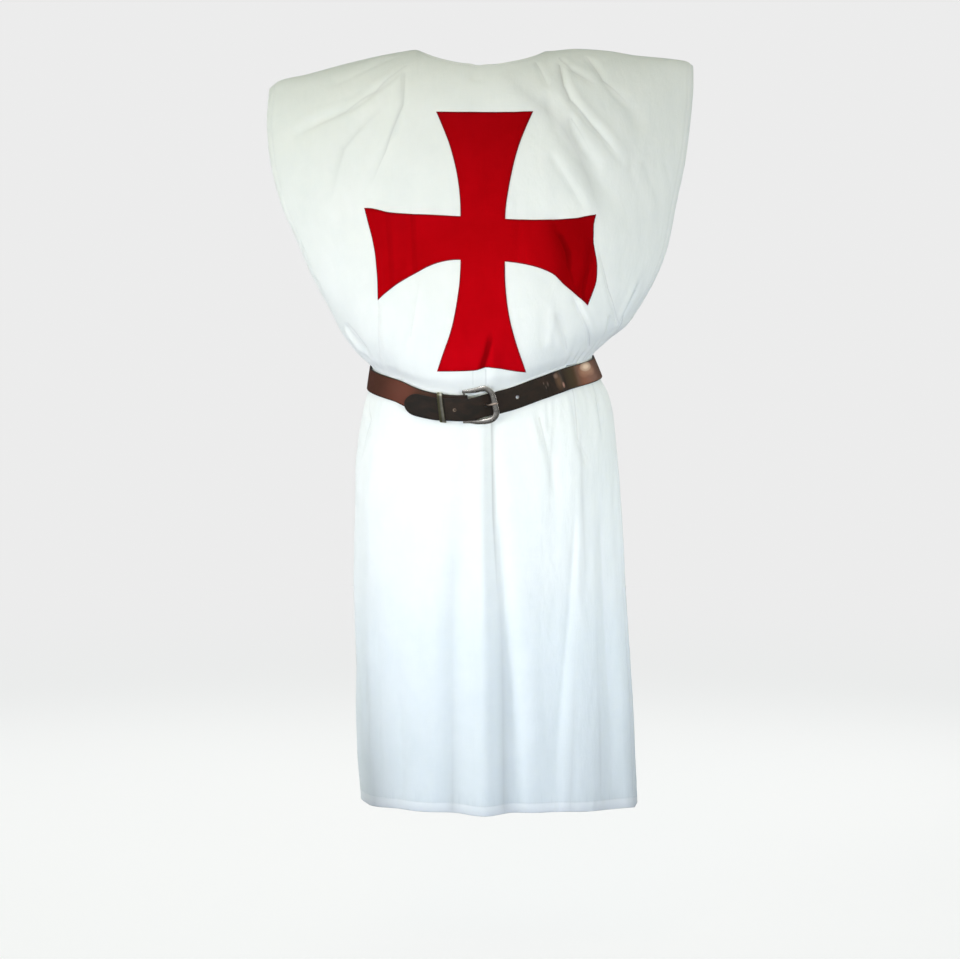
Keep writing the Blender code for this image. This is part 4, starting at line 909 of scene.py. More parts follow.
def stitch_mesh(name, lines, pitch, length, wide, lift):
    """One small body of thread for each stitch along the given lines."""
    spots = []
    for points, normals, trim0, trim1 in lines:
        seg = np.linalg.norm(np.diff(points, axis=0), axis=1)
        run = np.concatenate([[0], np.cumsum(seg)])
        count = int((run[-1] - trim0 - trim1) / pitch)
        if count < 1:
            continue
        centre = trim0 + (run[-1] - trim0 - trim1 - count * pitch) / 2 + (np.arange(count) + 0.5) * pitch

        def sample(u):
            return np.stack([np.interp(u, run, points[:, k]) for k in range(3)], -1)
        p = sample(centre)
        t = unit(sample(centre + length / 2) - sample(centre - length / 2))
        n = unit(np.stack([np.interp(centre, run, normals[:, k]) for k in range(3)], -1))
        spots.append((p, t, n))
    p, t, n = (np.concatenate([sp[k] for sp in spots]) for k in range(3))
    b = unit(np.cross(t, n))
    n = np.cross(b, t)
    sides = 5
    rings = ((-1.0, 0.35, -0.5), (-0.45, 1.0, 0.1), (0.45, 1.0, 0.1), (1.0, 0.35, -0.5))
    verts = []
    for u, r, rise in rings:
        centre = p + t * (u * length / 2) + n * (lift + rise * wide)
        for k in range(sides):
            a = 2 * math.pi * k / sides + 0.3
            verts.append(centre + b * (math.cos(a) * wide * r) + n * (math.sin(a) * wide * r * 0.75))
    verts = np.stack(verts, 1)                       # stitch, ring point, xyz
    per = verts.shape[1]
    faces = []
    for r in range(len(rings) - 1):
        for k in range(sides):
            k2 = (k + 1) % sides
            faces.append((r * sides + k, (r + 1) * sides + k, (r + 1) * sides + k2, r * sides + k2))
    faces = np.array(faces)
    base = (np.arange(len(p)) * per)[:, None, None]
    quads = (faces[None] + base).reshape(-1, 4)
    cap0 = (np.arange(sides)[None] + base[:, 0]).tolist()
    cap1 = (np.arange(sides)[::-1][None] + (len(rings) - 1) * sides + base[:, 0]).tolist()
    return make_mesh(name, verts.reshape(-1, 3), quads.tolist() + cap0 + cap1)


def panel_stitch_lines(s, neck_left, neck_right):
    rows, cols = s["outer"].shape[:2]
    at, normal = s["outer"], s["normal"]
    hem_row, left_col, right_col = rows - 1 - 2, 2, cols - 1 - 2
    lines = []
    low = hem_row
    for col in (left_col, right_col):
        lines.append((at[4:low + 1, col], normal[4:low + 1, col], 0.001, 0.0))
    lines.append((at[hem_row, left_col:right_col + 1], normal[hem_row, left_col:right_col + 1], 0.0, 0.0))
    lines.append((at[2, neck_left + 1:neck_right], normal[2, neck_left + 1:neck_right], 0.0, 0.0))
    return lines


def cross_stitch_lines(s):
    lift = 0.0003 + CROSS_SHEET * 0.9
    inset = 0.0009
    out = []

    def vertical(col, toward, r0, r1):
        p, n = side_line(s, col, toward, r0, r1, True, inset, lift)
        out.append((p, n, inset, inset))

    def level(row, toward, c0, c1):
        p, n = side_line(s, row, toward, c0, c1, False, inset, lift)
        out.append((p, n, inset, inset))
    level(TOP_ROW, TOP_ROW + 1, UP_LEFT, UP_RIGHT)
    vertical(UP_RIGHT, UP_RIGHT - 1, TOP_ROW, ARM_TOP)
    level(ARM_TOP, ARM_TOP + 1, UP_RIGHT, FAR_RIGHT)
    vertical(FAR_RIGHT, FAR_RIGHT - 1, ARM_TOP, ARM_FOOT)
    level(ARM_FOOT, ARM_FOOT - 1, UP_RIGHT, FAR_RIGHT)
    vertical(UP_RIGHT, UP_RIGHT - 1, ARM_FOOT, FOOT_ROW)
    level(FOOT_ROW, FOOT_ROW - 1, UP_LEFT, UP_RIGHT)
    vertical(UP_LEFT, UP_LEFT + 1, ARM_FOOT, FOOT_ROW)
    level(ARM_FOOT, ARM_FOOT - 1, FAR_LEFT, UP_LEFT)
    vertical(FAR_LEFT, FAR_LEFT + 1, ARM_TOP, ARM_FOOT)
    level(ARM_TOP, ARM_TOP + 1, FAR_LEFT, UP_LEFT)
    vertical(UP_LEFT, UP_LEFT + 1, TOP_ROW, ARM_TOP)
    return out


cross_cloth, cross_size, cross_area = build_cross(front)
cross_thread = stitch_mesh("cross_stitching", cross_stitch_lines(front), 0.0020, 0.0020, 0.00052, 0.0001)
front_thread = stitch_mesh("front_stitching", panel_stitch_lines(front, NECK_LEFT, NECK_RIGHT), 0.0032, 0.0025, 0.00026, 0.0003)
back_thread = stitch_mesh("back_stitching", panel_stitch_lines(rear, BACK_COLS[5], BACK_COLS[8]), 0.0032, 0.0025, 0.00026, 0.0003)

# ================================================================ the belt
TAIL_END = (
    (0.0750, 0.0046, 0.0000), (0.0500, 0.0046, 0.0000), (0.0310, 0.0056, 0.0000),
    (0.0190, 0.0067, 0.0000), (0.0128, 0.0069, 0.0000), (0.0068, 0.0099, -0.0002),
    (0.0022, 0.0129, -0.0005), (-0.0030, 0.0143, -0.0018), (-0.0110, 0.0153, -0.0034),
    (-0.0195, 0.0161, -0.0046), (-0.0275, 0.0164, -0.0052),
    (-0.0355, 0.0146, -0.0052), (-0.0435, 0.0119, -0.0052),
    (-0.0530, 0.0101, -0.0057), (-0.0720, 0.0101, -0.0066),
    (-0.0880, 0.0088, -0.0070), (-0.1040, 0.0081, -0.0076),
    (-0.1200, 0.0080, -0.0084),
)
BUCKLE_END = (
    (-0.1100, 0.0046, 0.0), (-0.0900, 0.0053, 0.0), (-0.0750, 0.0065, 0.0),
    (-0.0535, 0.0065, 0.0), (-0.0465, 0.0082, 0.0), (-0.0400, 0.0091, 0.0),
    (-0.0340, 0.0110, 0.0),
)
LOOP_CENTRE = 0.0088
RETURN_END = -0.048
PRONG_LINE = (
    (-0.0225, 0.0123), (-0.0140, 0.0109), (-0.0060, 0.0094), (0.0000, 0.0082),
    (0.0044, 0.0085), (0.0088, 0.0124), (0.0130, 0.0153), (0.0190, 0.0159),
    (0.0240, 0.0155),
)
PRONG_RADIUS = 0.0016
HOLES = (-0.0400, 0.0068, 0.0560)
HOLE_SIZES = {-0.0400: (0.0015, 0.0015), 0.0068: (0.0034, 0.0024), 0.0560: (0.0028, 0.0028)}


# where the strap has been bent sharply: along, half length, height
BENDS = ((0.1275, 0.0055, 0.0018), (0.1150, 0.0030, -0.0003), (0.1045, 0.0022, 0.0005),
         (0.1090, 0.0018, 0.0004), (0.1600, 0.0050, 0.0006))


def bend(along):
    return sum(high * math.exp(-((along - place) / half) ** 2) for place, half, high in BENDS)


def strap_path():
    """Middle of the leather: (along, out, shift)."""
    low = BELT_OUT + BELT_THICK / 2
    path = [(a, low, 0.0) for a in np.linspace(RETURN_END, BUCKLE_LEFT - 0.004, 8)]
    turn = LOOP_CENTRE - low
    for angle in np.linspace(-82, 82, 18):
        path.append((BUCKLE_LEFT + turn * math.cos(math.radians(angle)),
                     LOOP_CENTRE + turn * math.sin(math.radians(angle)), 0.0))
    for along in np.linspace(-0.0340, -0.1100, 24):
        path.append((along, float(smooth(along, column(BUCKLE_END, 0), column(BUCKLE_END, 1))), 0.0))
    start, bent, stop = -0.1100, 0.1650 - AROUND, TAIL_END[0][0] - AROUND
    for first, last, pace in ((start, bent, 0.0042), (bent, stop, 0.0014)):
        count = int((first - last) / pace)
        for k in range(1 if pace > 0.003 else 0, count):
            along = first + (last - first) * k / count
            path.append((along, low + bend(along + AROUND), 0.0))
    turn_from = len(path)
    for along in np.concatenate([np.linspace(0.075, -0.1140, 72), -0.12 + 0.006 * np.cos(np.linspace(0.12, math.pi / 2, 12)) ]):
        path.append((along - AROUND,
                     float(smooth(along, column(TAIL_END, 0), column(TAIL_END, 1))),
                     float(smooth(along, column(TAIL_END, 0), column(TAIL_END, 2)))))
    return path


def strap_outline():
    """Section of the strap: (share of half width, share of half thickness)."""
    half, deep = BELT_WIDTH / 2, BELT_THICK / 2
    edge = 0.0011
    pts = []
    flat = np.linspace(-1, 1, 9)
    for u in flat:
        pts.append((u * (half - edge), deep))
    for a in (60, 30, 0, -30, -60):
        r = math.radians(a)
        pts.append((half - edge + edge * math.cos(r), deep * math.sin(r) ** 1 if a else 0.0))
    for u in flat[::-1]:
        pts.append((u * (half - edge), -deep))
    for a in (-60, -30, 0, 30, 60):
        r = math.radians(a)
        pts.append((-(half - edge) - edge * math.cos(r), deep * math.sin(r) if a else 0.0))
    return pts


def build_strap():
    path = strap_path()
    outline = strap_outline()
    along = np.array([p[0] for p in path])
    wrapped = np.where(along < -AROUND / 2, along + AROUND, along)
    out = np.array([p[1] for p in path])
    shift = np.array([p[2] for p in path])
    left = along - (-0.1200 - AROUND)
    room = 0.0215
    narrow = np.where(left > room, 1.0, np.sqrt(np.clip(1 - np.clip(1 - left / room, 0, 1) ** 2.2, 0.02, 1)))
    centre = belt_point(wrapped, shift, out)
    # frame of the leather itself: across is up the belt, face is out of the leather
    up = unit(belt_point(wrapped, shift + 0.004, out) - belt_point(wrapped, shift - 0.004, out))
    forward = np.gradient(centre, axis=0)
    length = np.concatenate([[0], np.cumsum(np.linalg.norm(np.diff(centre, axis=0), axis=1))])
    face = unit(np.cross(up, forward))
    outward = unit(belt_point(wrapped, shift, out + 0.003) - centre)
    turned_over = np.sign((face * outward).sum(-1))
    main = turned_over[len(turned_over) // 2]
    face = face * main
    rings, uvs = [], []
    for u, v in outline:
        crown = 0.00022 * (1 - (u / (BELT_WIDTH / 2)) ** 2) * (1 if v > 0 else 0)
        rings.append(centre + up * (u * narrow)[:, None] + face * (v + crown))
        uvs.append(np.stack([-along, np.full_like(along, u)], -1))
    verts = np.stack(rings, 1)
    uv = np.stack(uvs, 1)
    rows, cols = verts.shape[:2]
    quads = grid_faces(rows, cols, closed=True)
    a, b, c = verts[0, 0], verts[0, 1], verts[1, 0]
    test = np.cross(b - a, c - a)
    flip = np.dot(test, face[0]) < 0
    faces = [list(f) for f in (quads[:, ::-1] if flip else quads)]
    cap0, cap1 = list(range(cols)), list(range((rows - 1) * cols, rows * cols))
    faces += [cap0 if flip else cap0[::-1], cap1[::-1] if flip else cap1]
    obj = make_mesh("belt_leather", verts.reshape(-1, 3), faces, uv.reshape(-1, 2))
    return obj, length, wrapped


def prism(name, ring_low, ring_high):
    n = len(ring_low)
    verts = list(ring_low) + list(ring_high)
    faces = [list(range(n))[::-1], list(range(n, 2 * n))]
    faces += [[k, (k + 1) % n, n + (k + 1) % n, n + k] for k in range(n)]
    mesh = bpy.data.meshes.new(name)
    mesh.from_pydata([tuple(map(float, v)) for v in verts], [], faces)
    bm = bmesh.new()
    bm.from_mesh(mesh)
    bmesh.ops.recalc_face_normals(bm, faces=bm.faces[:])
    bm.to_mesh(mesh)
    bm.free()
    obj = bpy.data.objects.new(name, mesh)
    bpy.context.scene.collection.objects.link(obj)
    return obj


def apply_all(obj):
    graph = bpy.context.evaluated_depsgraph_get()
    mesh = bpy.data.meshes.new_from_object(obj.evaluated_get(graph))
    obj.modifiers.clear()
    old = obj.data
    obj.data = mesh
    mesh.name = old.name + "_cut"
    return obj


def cut_holes(strap):
    tools = []
    for hole in HOLES:
        shift = float(smooth(hole, column(TAIL_END, 0), column(TAIL_END, 2)))
        out = float(smooth(hole, column(TAIL_END, 0), column(TAIL_END, 1)))
        long_, high_ = HOLE_SIZES[hole]
        a = 2 * math.pi * np.arange(20) / 20
        low = belt_point(hole + long_ * np.cos(a), shift + high_ * np.sin(a), out - 0.0023)
        high = belt_point(hole + long_ * np.cos(a), shift + high_ * np.sin(a), out + 0.0045)
        tools.append(prism("hole_cutter", low, high))
    corners = ((-0.0385, -0.0027), (-0.0180, -0.0027), (-0.0180, 0.0027), (-0.0385, 0.0027))
    tools.append(prism("slot_cutter", [belt_point(a, u, 0.0035) for a, u in corners],
                       [belt_point(a, u, 0.0144) for a, u in corners]))
    for tool in tools:
        cut = strap.modifiers.new("cut", "BOOLEAN")
        cut.operation = "DIFFERENCE"
        cut.solver = "EXACT"
        cut.object = tool
    apply_all(strap)
    for tool in tools:
        bpy.data.objects.remove(tool)
    strap.data.shade_smooth()
    strap.data.set_sharp_from_angle(angle=math.radians(38))


belt, belt_length, belt_wrapped = build_strap()
cut_holes(belt)


# ---------------------------------------------------------------- fittings
def loft(name, centres, ups, outs, sections, closed_ends=True, smooth_angle=50):
    """A loft along the belt frame: each section is a list of (side, out)."""
    c, r, ring = np.array(centres), np.array(ups), np.array(sections)
    verts = belt_point(c[:, None, 0] + r[:, None, 0] * ring[..., 0],
                       c[:, None, 1] + r[:, None, 1] * ring[..., 0], c[:, None, 2] + ring[..., 1])
    r, c = verts.shape[:2]
    faces = [list(f) for f in grid_faces(r, c, closed=True)]
    if closed_ends:
        faces += [list(range(c))[::-1], list(range((r - 1) * c, r * c))]
    obj = make_mesh(name, verts.reshape(-1, 3), faces)
    bm = bmesh.new()
    bm.from_mesh(obj.data)
    bmesh.ops.recalc_face_normals(bm, faces=bm.faces[:])
    bm.to_mesh(obj.data)
    bm.free()
    obj.data.shade_smooth()
    obj.data.set_sharp_from_angle(angle=math.radians(smooth_angle))
    return obj


def bow_route():
    """The bow's centre line, half width and height, from upper to lower hinge."""
    inner, far, corner = BUCKLE_HALF, BUCKLE_RIGHT, 0.0130
    route = [(BUCKLE_LEFT - 0.0010, inner - 0.0006, LOOP_CENTRE, 0.0030),
             (BUCKLE_LEFT + 0.0035, inner - 0.0003, 0.0091, 0.0033),
             (BUCKLE_LEFT + 0.0080, inner, 0.0095, 0.0037),
             (BUCKLE_LEFT + 0.0140, inner + 0.0004, 0.0101, 0.0041),
             (BUCKLE_LEFT + 0.0200, inner + 0.0006, 0.0107, 0.0044),
             (BUCKLE_LEFT + 0.0260, inner + 0.0007, 0.0111, 0.0046)]
    for k in range(1, 12):
        a = math.radians(90 - 90 * k / 12)
        route.append((far - corner + corner * math.cos(a),
                      inner + 0.0006 - corner + corner * math.sin(a), 0.0114, BOW_WIDE))
    for k in range(0, 7):
        route.append((far, (inner + 0.0006 - corner) * (1 - k / 6), 0.0116, BOW_WIDE))
    upper = [(a, u + 0.0026 * math.exp(-((a - 0.0045) / 0.0085) ** 2) + 0.0005, o, w * 0.94)
             for a, u, o, w in route]
    lower = [(a, -u - 0.0010 * math.exp(-((a + 0.002) / 0.016) ** 2), o, w * 0.94)
             for a, u, o, w in route]
    return upper + lower[-2::-1]


def build_bow():
    route = bow_route()
    pts = np.array(route)
    run = np.concatenate([[0], np.cumsum(np.hypot(*np.diff(pts[:, :2], axis=0).T))])
    u = np.linspace(0, run[-1], 150)
    fine = np.stack([smooth(u, run, pts[:, k]) for k in range(4)], -1)
    d = np.gradient(fine[:, :2], axis=0)
    d = unit(d)
    side = np.stack([d[:, 1], -d[:, 0]], -1)
    ring_count = 20
    rows, ups, rings = [], [], []
    for k in range(len(fine)):
        w = fine[k, 3]
        ring = []
        for j in range(ring_count):
            a = 2 * math.pi * j / ring_count
            c, s = math.cos(a), math.sin(a)
            c = math.copysign(abs(c) ** 0.85, c)
            rise = BOW_DEEP * (s if s > 0 else 0.62 * s)
            ring.append((w * c, rise))
        rows.append(tuple(fine[k, :3]))
        ups.append(tuple(side[k]))
        rings.append(ring)
    return loft("buckle_bow", rows, ups, None, rings)


def rod(name, stations, radius, sides=16, smooth_angle=60):
    """A round bar through stations (along, up, out) with given radii."""
    pts = [Vector(p) for p in belt_point(*np.array(stations).T)]
    rows = []
    ref = None
    for k, p in enumerate(pts):
        ahead = pts[min(k + 1, len(pts) - 1)] - pts[max(k - 1, 0)]
        ahead.normalize()
        if ref is None:
            ref = ahead.orthogonal().normalized()
        ref = (ref - ahead * ref.dot(ahead)).normalized()
        other = ahead.cross(ref)
        r = radius[k] if hasattr(radius, "__len__") else radius
        rows.append([p + (ref * math.cos(2 * math.pi * j / sides) + other * math.sin(2 * math.pi * j / sides)) * r
                     for j in range(sides)])
    verts = np.array([[tuple(v) for v in row] for row in rows])
    r, c = verts.shape[:2]
    faces = [list(f) for f in grid_faces(r, c, closed=True)]
    faces += [list(range(c))[::-1], list(range((r - 1) * c, r * c))]
    obj = make_mesh(name, verts.reshape(-1, 3), faces)
    bm = bmesh.new()
    bm.from_mesh(obj.data)
    bmesh.ops.recalc_face_normals(bm, faces=bm.faces[:])
    bm.to_mesh(obj.data)
    bm.free()
    obj.data.shade_smooth()
    obj.data.set_sharp_from_angle(angle=math.radians(smooth_angle))
    return obj


def join(objects, name):
    """One mesh object out of several."""
    bm = bmesh.new()
    for o in objects:
        bm.from_mesh(o.data)
    mesh = bpy.data.meshes.new(name)
    bm.to_mesh(mesh)
    bm.free()
    for o in objects:
        bpy.data.objects.remove(o)
    mesh.shade_smooth()
    mesh.set_sharp_from_angle(angle=math.radians(50))
    obj = bpy.data.objects.new(name, mesh)
    bpy.context.scene.collection.objects.link(obj)
    return obj


def block(name, along, up, out, round_by):
    """A small block with rounded edges, laid in the belt frame."""
    bm = bmesh.new()
    bmesh.ops.create_cube(bm, size=1.0)
    low, high = np.array([along[0], up[0], out[0]]), np.array([along[1], up[1], out[1]])
    for v in bm.verts:
        v.co = Vector((low + (np.array(v.co) + 0.5) * (high - low)).tolist())
    bmesh.ops.bevel(bm, geom=bm.edges[:], offset=round_by, segments=3, profile=0.5, affect="EDGES")
    for v in bm.verts:
        v.co = Vector(belt_point(*v.co).tolist())
    bmesh.ops.recalc_face_normals(bm, faces=bm.faces[:])
    mesh = bpy.data.meshes.new(name)
    bm.to_mesh(mesh)
    bm.free()
    obj = bpy.data.objects.new(name, mesh)
    bpy.context.scene.collection.objects.link(obj)
    return obj


def build_hinge():
    reach = BUCKLE_HALF - 0.0006
    bar = rod("hinge_bar", [(BUCKLE_LEFT, reach * u, LOOP_CENTRE) for u in np.linspace(-1, 1, 9)], BAR_RADIUS)
    lugs = [block("hinge_lug", (BUCKLE_LEFT - 0.0026, BUCKLE_LEFT + 0.0112),
                  (0.0208, 0.0258) if hand > 0 else (-0.0262, -0.0212),
                  (LOOP_CENTRE - 0.0028, LOOP_CENTRE + 0.0030), 0.0010) for hand in (-1, 1)]
    return [bar] + lugs


def build_prong():
    hook = PRONG_RADIUS + BAR_RADIUS + 0.0004
    path = [(BUCKLE_LEFT + hook * math.cos(math.radians(a + 30)), 0.0,
             LOOP_CENTRE + hook * math.sin(math.radians(a + 30))) for a in np.linspace(-200, 60, 26)]
    line = np.array(PRONG_LINE)
    for a in np.linspace(line[0, 0], line[-1, 0], 46)[1:]:
        path.append((float(a), 0.0, float(smooth(a, line[:, 0], line[:, 1]))))
    radii = [PRONG_RADIUS] * len(path)
    for k in range(1, 9):
        radii[-k] = PRONG_RADIUS * math.sqrt(1 - ((9 - k) / 9.3) ** 2) if k < 9 else PRONG_RADIUS
    return rod("buckle_tongue", path, radii, sides=14)


def build_keeper():
    low, high = BELT_OUT, 0.0106 + BELT_THICK / 2 + 0.0003
    top, bottom = BELT_WIDTH / 2 + 0.0010, -BELT_WIDTH / 2 - 0.0078
    inner_low = low + KEEPER_WALL
    bow = [(top - 0.0042 * (1 - math.cos(math.radians(a))), high - 0.0042 * (1 - math.sin(math.radians(a))))
           for a in (0, 15, 30, 45, 60, 75, 90)]
    loop = [(top, inner_low + 0.0002)] + bow
    loop += [(u, high + 0.0002) for u in np.linspace(0.010, -0.018, 7)]
    loop += [(bottom + 0.0012, high), (bottom + 0.0004, high - 0.0004), (bottom, high - 0.0012),
             (bottom, inner_low + 0.0020), (-0.0185, inner_low)]
    loop += [(u, inner_low) for u in (-0.008, 0.001, 0.010)]
    across = (-1.0, -0.94, -0.80, -0.45, -0.12, -0.03, 0.10, 0.35, 0.60, 0.85, 0.95, 1.0)
    rise = (0.25, 0.70, 0.85, 0.85, 0.80, 0.72, 0.92, 1.05, 1.05, 0.92, 0.72, 0.25)
    centre, half = (KEEPER_LEFT + KEEPER_RIGHT) / 2, (KEEPER_RIGHT - KEEPER_LEFT) / 2
    n = len(loop)
    pts = np.array(loop)
    away = unit(np.roll(pts, -1, 0) - np.roll(pts, 1, 0))
    normal = np.stack([away[:, 1], -away[:, 0]], -1)
    middle = pts.mean(0)
    normal = np.where(((pts - middle) * normal).sum(-1, keepdims=True) < 0, -normal, normal)
    along, up, out, uv = [], [], [], []
    for x, r in zip(across, rise):
        for point, nn in zip(pts, normal):
            o = point + nn * KEEPER_WALL * r
            along.append(centre + half * x - KEEPER_LEAN * point[0])
            up.append(o[0])
            out.append(o[1])
            uv.append((x, o[0]))
    for x in across[::-1]:
        for u, o in loop:
            along.append(centre + half * x - KEEPER_LEAN * u)
            up.append(u)
            out.append(o)
            uv.append((x, u))
    verts = belt_point(along, up, out)
    rows = len(across) * 2
    faces = [list(f) for f in grid_faces(rows, n, closed=True)]
    last = (rows - 1) * n
    faces += [[last + j, last + (j + 1) % n, (j + 1) % n, j] for j in range(n)]
    obj = make_mesh("belt_keeper_band", verts, faces, uv)
    bm = bmesh.new()
    bm.from_mesh(obj.data)
    bmesh.ops.recalc_face_normals(bm, faces=bm.faces[:])
    bm.to_mesh(obj.data)
    bm.free()
    obj.data.shade_smooth()
    obj.data.set_sharp_from_angle(angle=math.radians(42))
    return obj


bow = join([build_bow()] + build_hinge(), "buckle_bow_and_bar")
prong = build_prong()
keeper = build_keeper()


# ================================================================ materials
def links(material):
    tree = material.node_tree
    return tree.nodes, tree.links


def new_material(name, colour, roughness, metallic=0.0):
    material = bpy.data.materials.new(name)
    material.use_nodes = True
    shader = material.node_tree.nodes["Principled BSDF"]
    shader.inputs["Base Color"].default_value = (*colour, 1)
    shader.inputs["Roughness"].default_value = roughness
    shader.inputs["Metallic"].default_value = metallic
    return material, shader


def node(nodes, kind, **settings):
    made = nodes.new(kind)
    for key, value in settings.items():
        setattr(made, key, value)
    return made


def maths(nodes, wires, operation, a, b=None, c=None):
    made = nodes.new("ShaderNodeMath")
    made.operation = operation
    for k, value in enumerate((a, b, c)):
        if value is None:
            continue
        if hasattr(value, "is_output"):
            wires.new(value, made.inputs[k])
        else:
            made.inputs[k].default_value = value
    return made.outputs[0]


def clamped(nodes, wires, value):
    made = nodes.new("ShaderNodeClamp")
    wires.new(value, made.inputs["Value"])
    return made.outputs[0]


def scaled(nodes, wires, source, scale, shift=(0, 0, 0)):
    made = nodes.new("ShaderNodeMapping")
    wires.new(source, made.inputs["Vector"])
    made.inputs["Scale"].default_value = scale
    made.inputs["Location"].default_value = shift
    return made.outputs["Vector"]


def noise(nodes, wires, vector, scale, detail=3.0, rough=0.55, distortion=0.0):
    made = nodes.new("ShaderNodeTexNoise")
    wires.new(vector, made.inputs["Vector"])
    made.inputs["Scale"].default_value = scale
    made.inputs["Detail"].default_value = detail
    made.inputs["Roughness"].default_value = rough
    made.inputs["Distortion"].default_value = distortion
    return made.outputs["Fac"]


def ramp(nodes, wires, source, stops, mode="LINEAR"):
    made = nodes.new("ShaderNodeValToRGB")
    wires.new(source, made.inputs["Fac"])
    elements = made.color_ramp.elements
    made.color_ramp.interpolation = mode
    while len(elements) < len(stops):
        elements.new(0.5)
    for element, (position, colour) in zip(elements, stops):
        element.position = position
        element.color = (*colour, 1) if hasattr(colour, "__len__") else (colour, colour, colour, 1)
    return made.outputs["Color"]


def mix(nodes, wires, factor, a, b, blend="MIX"):
    made = nodes.new("ShaderNodeMix")
    made.data_type = "RGBA"
    made.blend_type = blend
    for socket, value in ((made.inputs[0], factor), (made.inputs[6], a), (made.inputs[7], b)):
        if hasattr(value, "is_output"):
            wires.new(value, socket)
        elif hasattr(value, "__len__"):
            socket.default_value = (*value, 1)
        else:
            socket.default_value = value
    return made.outputs[2]


def bump(nodes, wires, heights, strength, distance, below=None):
    made = nodes.new("ShaderNodeBump")
    wires.new(heights, made.inputs["Height"])
    made.inputs["Strength"].default_value = strength
    made.inputs["Distance"].default_value = distance
    if below is not None:
        wires.new(below, made.inputs["Normal"])
    return made.outputs["Normal"]


def weave_height(nodes, wires, uv, pitch):
    """Plain weave: threads cross over and under, with uneven yarn."""
    split = nodes.new("ShaderNodeSeparateXYZ")
    wires.new(uv, split.inputs[0])
    u = maths(nodes, wires, "MULTIPLY", split.outputs[0], math.pi / pitch)
    v = maths(nodes, wires, "MULTIPLY", split.outputs[1], math.pi / pitch)
    su, sv = maths(nodes, wires, "SINE", u), maths(nodes, wires, "SINE", v)
    over = maths(nodes, wires, "MULTIPLY", su, sv)
    both = maths(nodes, wires, "ADD", maths(nodes, wires, "ABSOLUTE", su), maths(nodes, wires, "ABSOLUTE", sv))
    height = maths(nodes, wires, "MULTIPLY_ADD", over, 0.35, maths(nodes, wires, "MULTIPLY", both, 0.35))
    slub_a = noise(nodes, wires, scaled(nodes, wires, uv, (1500, 30, 1)), 1.0, 1.0)
    slub_b = noise(nodes, wires, scaled(nodes, wires, uv, (30, 1500, 1)), 1.0, 1.0)
    yarn = maths(nodes, wires, "ADD", slub_a, slub_b)
    return maths(nodes, wires, "MULTIPLY_ADD", yarn, 0.5, height), yarn, split
